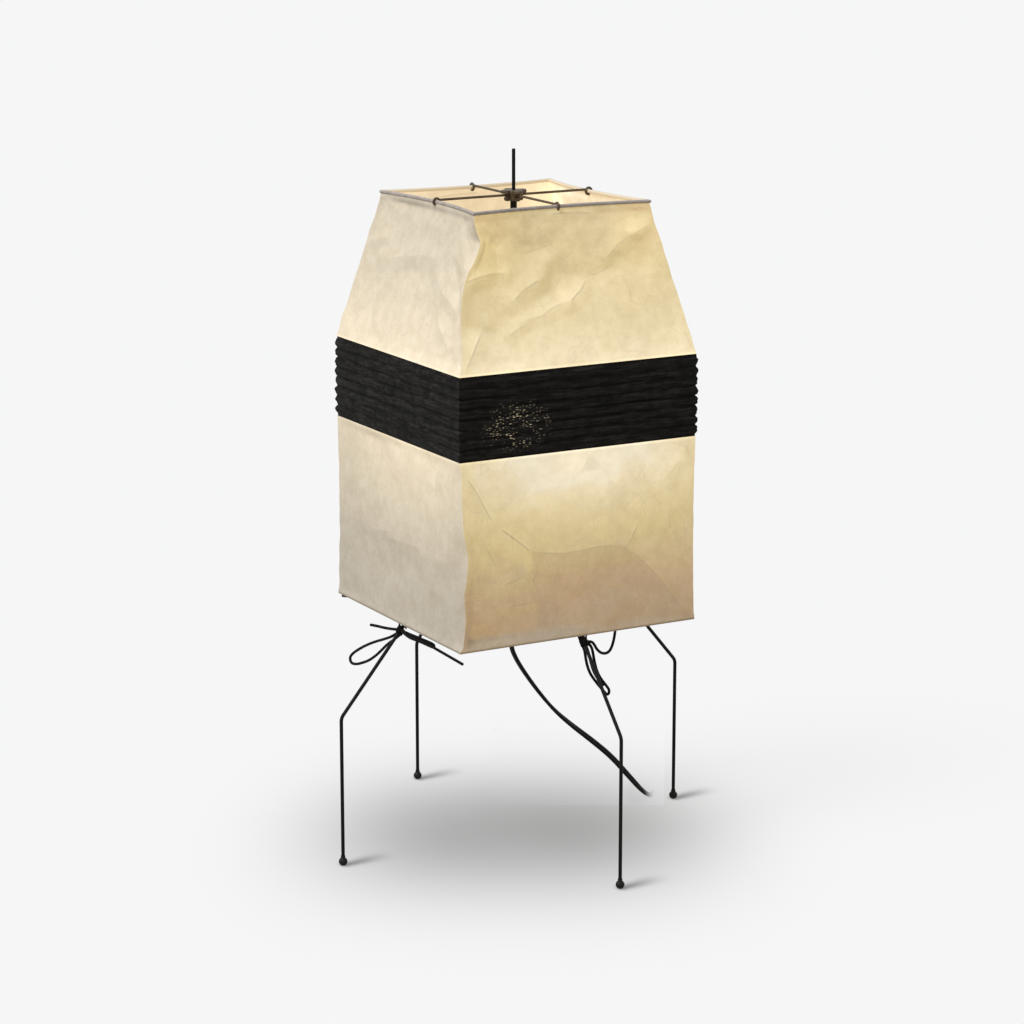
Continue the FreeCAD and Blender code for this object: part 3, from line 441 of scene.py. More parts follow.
def foldPaper(name, part, hemAtTop, hemAtBottom):
    # each point is set out on its side, sagged, creased and drawn in where the near corner is dented
    values, dents = paperValues[part], foldDents[part]
    low, high = values["low"], values["high"]
    piece = openTube(name, values["lowHalf"], low, high, paperValues["columnsPerSide"], values["rows"])
    hem = paperValues["hem"]
    marks = {"creaseSide": [], "creaseShows": [], "holderShade": []}
    for point in piece.data.vertices:
        side, outward, along, share = sideOf(point.co, values["lowHalf"] * mm)
        height = point.co.z / mm
        rise = (height - low) / (high - low)
        reach = values["lowHalf"] + (values["highHalf"] - values["lowHalf"]) * rise
        reach -= values["waist"] * math.sin(math.pi * rise)
        sag = between(values["sags"], rise) * (1 - share * share)
        if hemAtTop:
            reach += paperValues["hemRise"] * softStep(high - hem - 0.6, high - hem + 0.6, height)
        if hemAtBottom:
            reach += paperValues["hemRise"] * softStep(low + hem + 0.6, low + hem - 0.6, height)
        held = softStep(0, 0.07, rise) * softStep(1.0, 0.94, rise)
        likeLeft = side in ("left", "right") or side == "corner" and outward.y > outward.x
        face = part + ("Left" if likeLeft else "")
        run = share * reach * (-1 if side == "right" else 1)
        folded, signedGap, showing = creaseAt(run, height, sideCreases[face])
        if side == "corner":
            waver = noise.noise(Vector((outward.x * 3, outward.y * 3, height / 17)))
            place = outward * (reach + paperValues["cornerWaver"] * held * waver)
        else:
            near = softStep(1.0, 0.9, abs(share))
            push = (creases(side, run, height) + folded) * held * near
            place = outward * (reach - sag + push) + along * share * reach
        place.z = height
        fold = 1 - softStep(0, paperValues["foldReach"], (place.xy - Vector((-reach, -reach))).length)
        place.x += between(dents, height) * fold
        point.co = place * mm
        marks["creaseSide"].append(signedGap)
        marks["creaseShows"].append(showing if side != "corner" else 0.0)
        shaded = insideBy(run, height, holderShade[face]) if face in holderShade else -9.0
        marks["holderShade"].append(shaded)
    for mark, values in marks.items():
        piece.data.attributes.new(mark, "FLOAT", "POINT").data.foreach_set("value", values)
    finishWith(piece, "SOLIDIFY", thickness=paperValues["wall"] * mm, offset=-1)
    bpy.ops.object.shade_smooth_by_angle(angle=math.radians(25))
    joinTo(piece, "shade", "paper", *[f"{part}_paper_{side}" for side in sideNames])
    return piece


upperPaper = foldPaper("upperPaper", "upper", True, False)
lowerPaper = foldPaper("lowerPaper", "lower", False, True)
print("papers folded")


# Ribbed band: black paper drawn in between eight hoops, in millimetres

bandValues = {
    "low": 417.0, "high": 498.0, "ribs": 8, "edge": 2.5,
    "valleyHalf": 128.2, "depth": 2.0,
    "wall": 0.6,
    "columnsPerSide": 84, "rowsPerRib": 9,
    "waver": 0.45,               # ribs wander up and down
    "pucker": 0.5,               # and swell and shrink
    "cornerPucker": 0.9,
    "swellsRound": 14, "waversRound": 9,
    "crestShape": 0.75,          # under 1 gives rounder crests and sharper valleys
    "cornerShare": 0.9,          # of a rib's bulge that is left at the corners
}


def ribbedBand():
    values = bandValues
    rows = values["ribs"] * values["rowsPerRib"] + 4
    piece = openTube("ribbedBand", values["valleyHalf"], values["low"], values["high"],
                     values["columnsPerSide"], rows)
    half = values["valleyHalf"]
    pitch = (values["high"] - values["low"] - 2 * values["edge"]) / values["ribs"]
    for point in piece.data.vertices:
        side, outward, along, share = sideOf(point.co, half * mm)
        height = point.co.z / mm
        run = (height - values["low"] - values["edge"]) / pitch
        inside = 0 < run < values["ribs"]
        rib = math.floor(run)
        around = math.atan2(point.co.y, point.co.x)
        ring = Vector((math.cos(around), math.sin(around), 0))
        seed = ring * values["swellsRound"] + Vector((0, 0, rib * 3.7))
        swell = 1 + values["pucker"] * noise.noise(seed * 1.7)
        crest = abs(math.sin(math.pi * run)) ** values["crestShape"]
        bulge = values["depth"] * crest * swell if inside else 0.0
        nearCorner = softStep(0.93, 1.0, abs(share))
        bulge += nearCorner * values["cornerPucker"] * noise.noise(Vector((height / 2.2, around * 9, 1.5)))
        height += values["waver"] * noise.noise(ring * values["waversRound"] + Vector((0, 0, height / 12)))
        cornerReach = half + bulge * values["cornerShare"]
        if side == "corner":
            place = outward * cornerReach
        else:
            place = outward * (half + bulge) + along * share * cornerReach
        place.z = height
        point.co = place * mm
    finishWith(piece, "SOLIDIFY", thickness=values["wall"] * mm, offset=-1)
    bpy.ops.object.shade_smooth_by_angle(angle=math.radians(60))
    joinTo(piece, "shade", "black_paper", "black_band")
    return piece


band = ribbedBand()
print("band ribbed")


# Strings: the bows that tie the shade's bottom rim to the legs, in millimetres, drawn for the front side

stringValues = {
    "thickness": 2.8,
    "standTurn": 2.3,            # degrees the stand is turned under the shade
    "shoulder": (0, -125.0, 232.95),
    "downLeg": (0, -70.0, -82.95),
    "windings": 3,
    "windingReach": 3.05,
    "windingPlace": 6.0,         # from the shoulder along the leg
    "wrapSide": 3.3,             # either side of the leg, round the rim's wire
    "wrapThickness": 1.8,
    "wrapOut": -128.0, "wrapInner": -124.2, "wrapLow": 229.9, "wrapMiddle": 234.5, "wrapHigh": 237.4,
    "knot": (0.3, -130.6, 228.3),
    "knotReach": 2.2,
    "knotTurns": ((64, 18), (116, -24)),   # degrees about X and Y
}
sideBow = {
    "shortEnd": [
        (-3, -128.9, 228.4), (-11, -131, 227.2), (-27, -132, 225), (-41, -132, 223.6), (-53.7, -132, 221.7)],
    "bigLoop": [
        (-2.4, -127.9, 226.9), (-11, -131, 220), (-27.4, -132, 213.3), (-46.7, -132, 206),
        (-66.2, -132, 197.4), (-83.2, -132, 188.4), (-93, -132, 182.4), (-98, -132, 177.6),
        (-96.4, -132, 172.9), (-90.5, -132, 172.6), (-82, -132, 174.6), (-75, -132, 177.2),
        (-61, -132, 182.8), (-47, -132, 190.6), (-33, -131.5, 200.7), (-22, -131, 209.6),
        (-10, -128.6, 217.6), (0.6, -126.4, 226.1)],
    "flatLoop": [
        (3, -130, 229.4), (20, -132, 230.4), (36, -132, 230.9), (52, -132, 231.3), (66, -132, 231.6),
        (71, -132, 231), (71, -132, 228.6), (66, -132, 228), (52, -132, 228.2), (36, -132, 227.6),
        (20, -132, 226.8), (3, -127.8, 227.4)],
    "longEnd": [
        (3, -128.9, 228.4), (22, -134.6, 228.8), (44, -134.6, 230), (66, -134.6, 230.4), (84, -134.6, 229.2),
        (106, -134.6, 228), (128.6, -134.6, 226.6)],
}
hangingBow = {
    "hangingLoop": [
        (-1, -126.6, 226.2), (1.8, -127.3, 220.6), (3, -127.5, 211.8), (5.1, -127.5, 202.9),
        (8.6, -127.5, 194.9), (14.2, -127.5, 187.2), (20, -127.5, 179.9), (24.6, -127.5, 175.1),
        (27.2, -127.5, 171.6), (29.6, -127.5, 171.6), (30.4, -127.5, 174.6), (29.6, -127.5, 177),
        (27.4, -127.5, 180), (24, -127.5, 184.2), (19.4, -127.5, 190.2), (15.2, -127.5, 198.9),
        (12.5, -127.5, 209.3), (10.6, -127.5, 219.5), (7.5, -127.9, 225), (3.4, -128.6, 228)],
    "middleEnd": [
        (2, -126.6, 226.6), (5.5, -125, 222.5), (8.6, -124.4, 215), (11.3, -124.4, 204),
        (14.9, -124.4, 194.4), (20.6, -124.4, 185.6), (25.2, -124.4, 180)],
    "sideLoop": [
        (3.2, -128.9, 228.4), (8, -130, 228.6), (10.8, -131, 224.6), (13, -131.8, 220), (17.5, -132, 215.8),
        (24, -130.8, 213.9), (30, -128.8, 215.4), (34.3, -126.6, 220), (37.6, -124.6, 226.5),
        (39.6, -123, 232), (40.6, -122.4, 238)],
}
# the ties that the photograph hides repeat the left one; the right one's loops go the other way round
backBow = dict(sideBow)
backBow["longEnd"] = sideBow["longEnd"][:-1] + [(120, -134.6, 231.5)]
rightBow = {part: [(-x, y, z) for x, y, z in route] for part, route in sideBow.items()}
rightBow["longEnd"] = rightBow["longEnd"][:-2]
bows = {"front": (0, hangingBow), "left": (-90, sideBow), "back": (180, backBow), "right": (90, rightBow)}
stringPieces = []


def turnedRoute(route, degrees):
    turn = math.radians(degrees)
    return [(x * math.cos(turn) - y * math.sin(turn), x * math.sin(turn) + y * math.cos(turn), z)
            for x, y, z in route]


def windingRoute():
    # turns round the leg just below the rim
    slope = Vector(stringValues["downLeg"]).normalized()
    level = Vector((1, 0, 0))
    outer = slope.cross(level)
    middle = Vector(stringValues["shoulder"]) + slope * stringValues["windingPlace"]
    turns, reach = stringValues["windings"], stringValues["windingReach"]
    pointsPerTurn = 12
    route = []
    for step in range(turns * pointsPerTurn + 1):
        turn = 2 * math.pi * step / pointsPerTurn
        along = (step / pointsPerTurn / turns - 0.5) * (turns - 0.4) * stringValues["thickness"] * 0.9
        around = (level * math.cos(turn) + outer * math.sin(turn)) * reach
        route.append(tuple(middle + slope * along + around))
    return route


def wrapRoute(beside):
    # round the rim's wire through the paper and under the leg
    out, inner = stringValues["wrapOut"], stringValues["wrapInner"]
    low, middle, high = (stringValues["wrap" + word] for word in ("Low", "Middle", "High"))
    return [
        (beside * 0.4, out - 0.6, low), (beside * 0.8, out, low + 1.6), (beside, out, middle),
        (beside, out, high - 0.5), (beside, (out + inner) / 2, high + 0.7), (beside, inner, high - 0.6),
        (beside, inner, middle), (beside * 0.8, inner, low + 1.6), (beside * 0.4, inner + 1.0, low),
    ]


def stringPiece(name, side, route, thickness):
    turned = turnedRoute(route, bows[side][0] + stringValues["standTurn"])
    piece = cordCurve(name + "_" + side, turned, thickness / 2)
    piece.data.bevel_depth = 1
    piece.data.bevel_resolution = 3
    piece.data.splines[0].resolution_u = 6
    joinTo(piece, "stand", "string", "tie_" + side)
    stringPieces.append(piece)
    return piece


def splineLength(piece):
    # measured along a copy of the curve without its thickness
    bare = piece.copy()
    bare.data = piece.data.copy()
    bare.data.bevel_depth = 0
    mesh = bpy.data.meshes.new_from_object(bare)
    places = [point.co for point in mesh.vertices]
    total = sum((after - before).length for before, after in zip(places, places[1:]))
    bpy.data.objects.remove(bare)
    bpy.data.meshes.remove(mesh)
    return total


def knotPiece(side):
    # two turns of string drawn over each other
    putAwaySelection()
    place = Vector(stringValues["knot"]) * mm
    turns = []
    for turnX, turnY in stringValues["knotTurns"]:
        bpy.ops.mesh.primitive_torus_add(
            major_radius=stringValues["knotReach"] * mm, minor_radius=stringValues["thickness"] / 2 * mm,
            major_segments=28, minor_segments=12, location=place,
            rotation=(math.radians(turnX), math.radians(turnY), 0))
        turns.append(bpy.context.active_object)
    for turn in turns:
        turn.select_set(True)
    bpy.ops.object.join()
    piece = renamed("knot_" + side)
    piece.rotation_mode = "XYZ"
    settle(piece)
    degrees = bows[side][0] + stringValues["standTurn"]
    piece.rotation_euler = (0, 0, math.radians(degrees))
    settle(piece)
    bpy.ops.object.shade_smooth()
    joinTo(piece, "stand", "string", "tie_" + side)
    stringPieces.append(piece)


for side, (turn, bow) in bows.items():
    for part, route in bow.items():
        piece = stringPiece(part, side, route, stringValues["thickness"])
        round(splineLength(piece), 4)
    stringPiece("windings", side, windingRoute(), stringValues["thickness"])
    for word, beside in (("One", -stringValues["wrapSide"]), ("Two", stringValues["wrapSide"])):
        stringPiece("rimWrap" + word, side, wrapRoute(beside), stringValues["wrapThickness"])
    knotPiece(side)
print("strings tied")


# Inner lead and the strap round the coil, in millimetres

leadRoute = [(0, -34, 340), (0, -34, 301), (-7, -7, 265.9), (-7, -7, 242.45), (-7, -7, 206.45)]
strapValues = {
    "low": (141.8, 217.0, 0.1), "high": (169.45, 225.0, 10.4),
    "thickness": 0.8, "corner": 2.6, "flap": (146.5, 161.5), "flapRise": 0.7,
}
innerLead = cordCurve("innerLead", leadRoute, cordValues["width"] / 2)
innerLead.data.bevel_depth = 1
innerLead.data.bevel_resolution = 4
joinTo(innerLead, "stand", "cord", "socket_lead")
round(splineLength(innerLead), 4)


def roundedStrap():
    values = strapValues
    low, high = Vector(values["low"]) * mm, Vector(values["high"]) * mm
    putAwaySelection()
    bpy.ops.mesh.primitive_cube_add(size=1, location=(low + high) / 2)
    piece = renamed("coilStrap")
    piece.scale = high - low
    settle(piece)
    selectFaces(piece, lambda face: abs(face.normal.y) > 0.5)
    bpy.ops.mesh.delete(type="ONLY_FACE")
    selectEdges(piece, lambda first, second: abs(first.y - second.y) > 1e-6)
    bpy.ops.mesh.bevel(offset=values["corner"] * mm, segments=5)
    # the overlapping end, a little proud of the top
    start, end = (value * mm for value in values["flap"])
    for cut in (start, end):
        bpy.ops.mesh.select_all(action="SELECT")
        bpy.ops.mesh.bisect(plane_co=(cut, 0, 0), plane_no=(1, 0, 0))
    bpy.ops.object.mode_set(mode="OBJECT")
    selectFaces(piece, lambda face: face.normal.z > 0.9 and start < face.center.x < end)
    bpy.ops.mesh.extrude_region_move(TRANSFORM_OT_translate={"value": (0, 0, values["flapRise"] * mm)})
    bpy.ops.object.mode_set(mode="OBJECT")
    finishWith(piece, "SOLIDIFY", thickness=values["thickness"] * mm, offset=-1)
    finishWith(piece, "BEVEL", width=0.2 * mm, segments=2, limit_method="ANGLE")
    bpy.ops.object.shade_smooth_by_angle(angle=math.radians(40))
    joinTo(piece, "stand", "coil_band", "coil_tie")
    return piece


strap = roundedStrap()
print("strap closed")


# Materials


def fill(tree, socket, value):
    # links an output to a socket, or sets the socket to a number, a vector or a colour of three numbers
    if isinstance(value, bpy.types.NodeSocket):
        tree.links.new(value, socket)
    else:
        socket.default_value = (*value, 1) if socket.type == "RGBA" else value


def put(tree, kind, inputs=None, **settings):
    # a node with its settings and its filled inputs
    node = tree.nodes.new(kind)
    for name, value in settings.items():
        setattr(node, name, value)
    for key, value in (inputs or {}).items():
        fill(tree, node.inputs[key], value)
    return node


def work(tree, operation, *values, clamp=False):
    settings = {"operation": operation, "use_clamp": clamp}
    return put(tree, "ShaderNodeMath", dict(enumerate(values)), **settings).outputs[0]


def chained(operation):
    # the same operation on as many values as it is given, from the left
    def chain(tree, first, *others):
        for other in others:
            first = work(tree, operation, first, other)
        return first
    return chain


plus, less, times = chained("ADD"), chained("SUBTRACT"), chained("MULTIPLY")


def steer(tree, operation, *values, output=0):
    return put(tree, "ShaderNodeVectorMath", dict(enumerate(values)), operation=operation).outputs[output]


def scaled(tree, vector, factor):
    node = put(tree, "ShaderNodeVectorMath", {0: vector, "Scale": factor}, operation="SCALE")
    return node.outputs[0]


def axes(tree, vector):
    return put(tree, "ShaderNodeSeparateXYZ", {0: vector}).outputs


def noiseAt(tree, place, scale, detail=2.0, **more):
    inputs = {"Vector": place, "Scale": scale, "Detail": detail, **more}
    return put(tree, "ShaderNodeTexNoise", inputs).outputs["Fac"]


def nearTo(tree, value, middle, far, near):
    # 1 within the near distance of the middle, 0 past the far one
    return remap(tree, work(tree, "ABSOLUTE", less(tree, value, middle)), far, near)


def surfaceNormal(tree):
    return put(tree, "ShaderNodeNewGeometry").outputs["Normal"]


def remap(tree, value, fromLow, fromHigh, toLow=0.0, toHigh=1.0):
    ranges = {"Value": value, "From Min": fromLow, "From Max": fromHigh, "To Min": toLow, "To Max": toHigh}
    return put(tree, "ShaderNodeMapRange", ranges, interpolation_type="SMOOTHSTEP").outputs["Result"]


def mixed(tree, share, first, second):
    node = put(tree, "ShaderNodeMix", data_type="RGBA")
    for index, value in ((0, share), (6, first), (7, second)):
        fill(tree, node.inputs[index], value)
    return node.outputs[2]


def ramp(tree, share, stops):
    node = put(tree, "ShaderNodeValToRGB", {"Fac": share})
    while len(node.color_ramp.elements) < len(stops):
        node.color_ramp.elements.new(0.5)
    for element, (place, colour) in zip(node.color_ramp.elements, stops):
        element.position = place
        element.color = (*colour, 1)
    return node.outputs["Color"]


def bumped(tree, height, distance, **after):
    inputs = {"Height": height, "Distance": distance, "Strength": 1.0, **after}
    return put(tree, "ShaderNodeBump", inputs).outputs["Normal"]


def newGroup(name, inputs, outputs):
    # returns the group's tree, its incoming sockets by name and its output node
    tree = bpy.data.node_groups.new(name, "ShaderNodeTree")
    for socket, value in inputs.items():
        kind = "NodeSocketVector" if isinstance(value, tuple) else "NodeSocketFloat"
        tree.interface.new_socket(name=socket, in_out="INPUT", socket_type=kind).default_value = value
    for socket, kind in outputs.items():
        tree.interface.new_socket(name=socket, in_out="OUTPUT", socket_type="NodeSocket" + kind)
    entry = tree.nodes.new("NodeGroupInput")
    return tree, entry.outputs, tree.nodes.new("NodeGroupOutput")


def use(tree, group, **inputs):
    return put(tree, "ShaderNodeGroup", inputs, node_tree=group).outputs


def objectPlace(tree):
    return put(tree, "ShaderNodeTexCoord").outputs["Object"]


def makeWashiFibres():
    # long thin fibres, clouds of pulp and tooth of handmade paper
    outputs = {"Fibre": "Float", "Cloud": "Float", "Height": "Float"}
    tree, entry, leave = newGroup("washiFibres", {"Scale": 1.0}, outputs)
    place = scaled(tree, objectPlace(tree), entry["Scale"])
    turning = {"Vector": place, "Rotation": (0.3, 0.9, 0.2), "Scale": (1, 1, 0.4)}
    turned = put(tree, "ShaderNodeMapping", turning).outputs[0]
    line = noiseAt(tree, turned, 105.0, 1.0, Distortion=1.0)
    cloud = noiseAt(tree, place, 75.0, 5.0, Roughness=0.70)
    fibre = times(tree, nearTo(tree, line, 0.5, 0.016, 0.0), remap(tree, cloud, 0.44, 0.56))
    tooth = noiseAt(tree, place, 520.0)
    fill(tree, leave.inputs["Fibre"], fibre)
    fill(tree, leave.inputs["Cloud"], cloud)
    fill(tree, leave.inputs["Height"], plus(tree, times(tree, cloud, 3.0), tooth))
    return tree


def makePaperFolds():
    # painted facet shading: flat facets that catch the light differently, each painted a little lighter or
    # darker, and painted shade on the thin lines between them
    tree, entry, leave = newGroup("paperFolds", {"Size": 0.03}, {"Facet Shade": "Float", "Line": "Float"})
    place = objectPlace(tree)
    drift = put(tree, "ShaderNodeTexNoise", {"Vector": place, "Scale": 16.0, "Detail": 2.0}).outputs["Color"]
    drift = scaled(tree, steer(tree, "SUBTRACT", drift, (0.5, 0.5, 0.5)), 0.05)
    place = steer(tree, "ADD", place, drift)
    frequency = work(tree, "DIVIDE", 1.0, entry["Size"])
    sizes = {"Vector": place, "Scale": frequency}
    cells = put(tree, "ShaderNodeTexVoronoi", sizes).outputs
    edges = put(tree, "ShaderNodeTexVoronoi", sizes, feature="DISTANCE_TO_EDGE").outputs
    chance = axes(tree, cells["Color"])["X"]
    # painted shade or light on each facet, from -1 to 1
    fill(tree, leave.inputs["Facet Shade"], less(tree, times(tree, chance, 2.0), 1.0))
    handled = remap(tree, noiseAt(tree, place, 26.0, 1.0), 0.47, 0.60)
    # painted shade on the thin lines between the facets
    fill(tree, leave.inputs["Line"], times(tree, remap(tree, edges["Distance"], 0.028, 0.0), handled))
    return tree


glowValues = {
    "bulb": (0.0, -0.034, 0.427),
    "unitReach": 0.095,          # distance at which the light counts as one
    "nearest": 0.0004,           # square of the shortest distance counted
    "leastFacing": 0.08,
    "front": (
        (0.0, (0, 0, 0)), (0.23, (0.228, 0.116, 0.02)), (0.32, (0.324, 0.226, 0.068)),
        (0.40, (0.396, 0.299, 0.094)), (0.48, (0.48, 0.375, 0.16)), (0.60, (0.60, 0.495, 0.30)),
        (0.64, (0.643, 0.575, 0.42)), (0.70, (0.70, 0.605, 0.425)), (1.0, (1.0, 0.9, 0.7))),
    "left": ((0.0, (0, 0, 0)), (0.4, (0.4, 0.33, 0.215)), (1.0, (1, 0.86, 0.6))),
}


def makeBulbGlow():
    # painted glow: how much of the bulb's light comes through the paper, by the way to the bulb, less in the
    # holder's shade, and paler on the faces towards the key light
    values = glowValues
    tree, entry, leave = newGroup("bulbGlow", {
        "Normal": (0.0, 0.0, 0.0), "Bulb": values["bulb"], "Gain": 0.7, "Power": 0.5, "Left Gain": 0.6,
        "Left Power": 0.5, "Spread": 0.8, "Shade": 0.0}, {"Colour": "Color"})
    place = objectPlace(tree)
    way = steer(tree, "SUBTRACT", entry["Bulb"], place)
    flatWay = steer(tree, "MULTIPLY", way, (1, 1, 0))
    outward = steer(tree, "NORMALIZE", steer(tree, "MULTIPLY", surfaceNormal(tree), (1, 1, 0)))
    straight = steer(tree, "DOT_PRODUCT", outward, flatWay, output=1)
    flatReach = steer(tree, "DOT_PRODUCT", flatWay, flatWay, output=1)
    reach = steer(tree, "DOT_PRODUCT", way, way, output=1)
    aside = times(tree, less(tree, flatReach, times(tree, straight, straight)), entry["Spread"])
    distance = work(tree, "MAXIMUM", less(tree, reach, aside), values["nearest"])
    facing = steer(tree, "DOT_PRODUCT", entry["Normal"], way, output=1)
    facing = work(tree, "DIVIDE", work(tree, "ABSOLUTE", facing), work(tree, "SQRT", distance))
    facing = work(tree, "MINIMUM", work(tree, "MAXIMUM", facing, values["leastFacing"]), 1.0)
    arriving = work(tree, "DIVIDE", times(tree, facing, values["unitReach"] ** 2), distance)
    unshaded = less(tree, 1.0, entry["Shade"])
    light = times(tree, work(tree, "POWER", arriving, entry["Power"]), entry["Gain"], unshaded)
    leftLight = times(tree, work(tree, "POWER", arriving, entry["Left Power"]), entry["Left Gain"], unshaded)
    # faces that look left, towards the key light, get a paler painted glow
    facesLeft = remap(tree, axes(tree, outward)["X"], -0.35, -0.8)
    left = times(tree, facesLeft, remap(tree, axes(tree, place)["X"], 0.0, -0.03))
    warm, pale = ramp(tree, light, values["front"]), ramp(tree, leftLight, values["left"])
    fill(tree, leave.inputs["Colour"], mixed(tree, left, warm, pale))
    return tree


def makeHandledSurface():
    # smudges, small scratches and rubbed spots on metal and moulded plastic
    outputs = {"Smudge": "Float", "Rubbed": "Float", "Height": "Float"}
    tree, entry, leave = newGroup("handledSurface", {"Scale": 1.0}, outputs)
    place = scaled(tree, objectPlace(tree), entry["Scale"])
    fill(tree, leave.inputs["Smudge"], noiseAt(tree, place, 45.0, 5.0, Roughness=0.6))
    fill(tree, leave.inputs["Rubbed"], remap(tree, noiseAt(tree, place, 160.0, 4.0), 0.62, 0.74))
    fill(tree, leave.inputs["Height"], noiseAt(tree, place, 700.0, 3.0))
    return tree


washiFibres = makeWashiFibres()
paperFolds = makePaperFolds()
bulbGlow = makeBulbGlow()
handledSurface = makeHandledSurface()


def newMaterial(name, **fixed):
    # the material's tree and its shader, with the values that are the same all over
    material = bpy.data.materials.new(name)
    material.use_nodes = True
    tree = material.node_tree
    shader = tree.nodes["Principled BSDF"]
    for socket, value in fixed.items():
        shader.inputs[socket.replace("_", " ")].default_value = value
    return material, tree, shader


def feed(tree, shader, **sources):
    for socket, source in sources.items():
        tree.links.new(source, shader.inputs[socket.replace("_", " ")])


washiValues = {
    "pulp": (0.575, 0.495, 0.375),
    "pale": (0.645, 0.57, 0.45),
    "fibre": (0.50, 0.41, 0.29),
    "roughness": (0.72, 0.88),
    "upperGlow": {"Gain": 0.66, "Power": 0.27, "Left Gain": 0.79, "Left Power": 0.75, "Spread": 0.97},
    "lowerGlow": {"Gain": 0.686, "Power": 0.50, "Left Gain": 0.905, "Left Power": 1.25, "Spread": 0.8},
    "holderShade": 0.185,
    # heights of the painted bright line of glow along each edge of the band
    "upperSeam": 0.4984,
    "lowerSeam": 0.4166,
    # painted glow on the faces that look inward
    "inner": (0.50, 0.415, 0.28),
    "hemHeight": 0.2352, "rimWireShadeColour": (0.16, 0.125, 0.085),
    "paintedTopLight": 0.33,                # painted light: the glow brighter towards the top rim, away from the hooks
    "liftFrom": (0.560, 0.620), "liftBeside": (0.035, 0.085),
}


def facingInside(tree, place, low, high):
    # rises where the surface looks at the lamp's axis
    flat = steer(tree, "MULTIPLY", place, (1, 1, 0))
    return remap(tree, steer(tree, "DOT_PRODUCT", surfaceNormal(tree), flat, output=1), low, high)


def markAt(tree, name):
    return put(tree, "ShaderNodeAttribute", attribute_name=name).outputs["Fac"]


def washiPaper(name, glow, seam):
    # handmade paper with the bulb's light painted on as glow, dimmer where the paper is thicker, with painted
    # shade and highlight at facets and creases, a painted bright line at the seam and painted shade along the
    # hem
    values = washiValues
    material, tree, shader = newMaterial(name, Specular_IOR_Level=0.2, Emission_Strength=1.0)
    fibres = use(tree, washiFibres, Scale=1.0)
    folds = use(tree, paperFolds, Size=0.034)
    place = objectPlace(tree)
    height = axes(tree, place)["Z"]
    colour = mixed(tree, remap(tree, fibres["Cloud"], 0.34, 0.66), values["pulp"], values["pale"])
    colour = mixed(tree, times(tree, fibres["Fibre"], 0.5), colour, values["fibre"])
    # painted shade where the bottom rim's wire lies in the hem, darker in colour and in glow
    hem = nearTo(tree, height, values["hemHeight"], 0.0022, 0.0006)
    colour = mixed(tree, times(tree, hem, 0.55), colour, values["rimWireShadeColour"])
    normal = bumped(tree, fibres["Height"], 0.00016)
    under = times(tree, remap(tree, markAt(tree, "holderShade"), -2.2, 2.2), values["holderShade"])
    lit = use(tree, bulbGlow, Normal=normal, Shade=under, **glow)
    # painted shade along one side of each crease line and a painted highlight beside it on the other
    side = markAt(tree, "creaseSide")
    shows = times(tree, markAt(tree, "creaseShows"), remap(tree, fibres["Cloud"], 0.36, 0.60, 0.35, 1.0))
    creasePaintedShade = times(tree, nearTo(tree, side, -0.3, 1.4, 0.2), -0.42)
    creasePaintedHighlight = times(tree, nearTo(tree, side, 1.7, 1.5, 0.2), 0.13)
    spans = axes(tree, steer(tree, "ABSOLUTE", place))
    # painted light towards the top rim
    beside = remap(tree, work(tree, "MINIMUM", spans["X"], spans["Y"]), *values["liftBeside"])
    paintedTopLight = times(tree, beside, remap(tree, height, *values["liftFrom"]), values["paintedTopLight"])
    # the painted glow's strength: thicker and thinner paper, painted facet shade, painted crease lines,
    # painted light towards the top rim, a painted bright seam line and painted shade along the hem
    thicknessAndPaintedShade = plus(
        tree, remap(tree, fibres["Cloud"], 0.34, 0.66, 0.955, 1.045), times(tree, fibres["Fibre"], -0.06),
        times(tree, folds["Facet Shade"], 0.04), times(tree, folds["Line"], -0.12),
        times(tree, shows, plus(tree, creasePaintedShade, creasePaintedHighlight)), paintedTopLight,
        times(tree, nearTo(tree, height, seam, 0.0022, 0.0004), 0.30), times(tree, hem, -0.55))
    # painted light on the faces that look inward, where the bulb lights the paper from inside
    inside = facingInside(tree, place, 0.0, -0.01)
    glowing = scaled(tree, mixed(tree, inside, lit["Colour"], values["inner"]), thicknessAndPaintedShade)
    rough = remap(tree, fibres["Cloud"], 0.3, 0.7, *values["roughness"])
    feed(tree, shader, Base_Color=colour, Roughness=rough, Normal=normal, Emission_Color=glowing)
    return material


def boundRim():
    # wound paper over the top wire: brown outside, cream where the lit paper is turned over it, with a
    # painted glow on the side that faces the bulb
    material, tree, shader = newMaterial("boundRim", Specular_IOR_Level=0.2, Emission_Strength=1.0)
    fibres = use(tree, washiFibres, Scale=2.0)
    inside = facingInside(tree, objectPlace(tree), 0.02, -0.03)
    cloud = remap(tree, fibres["Cloud"], 0.34, 0.66)
    outer = mixed(tree, cloud, (0.40, 0.345, 0.30), (0.54, 0.475, 0.42))
    colour = mixed(tree, inside, outer, (0.60, 0.52, 0.40))
    # painted glow, stronger on the side that faces the lamp's axis
    glowing = mixed(tree, inside, (0.02, 0.016, 0.012), (0.26, 0.21, 0.13))
    feed(tree, shader, Base_Color=colour, Roughness=remap(tree, cloud, 0.0, 1.0, 0.7, 0.88),
         Normal=bumped(tree, fibres["Height"], 0.0002), Emission_Color=glowing)
    return material


bandLookValues = {
    "dark": (0.0016, 0.0013, 0.0009),
    "paintedCrestLight": (0.0125, 0.0113, 0.0094),
    "worn": (0.0075, 0.0066, 0.0052),
    "pleatHighlight": (0.030, 0.0275, 0.0235),
    "roughness": (0.68, 0.9),
    "sparkleMiddle": (-0.068, -0.128, 0.447),
    "sparkleReach": 0.044,
    "sparkle": (0.70, 0.56, 0.36),
}


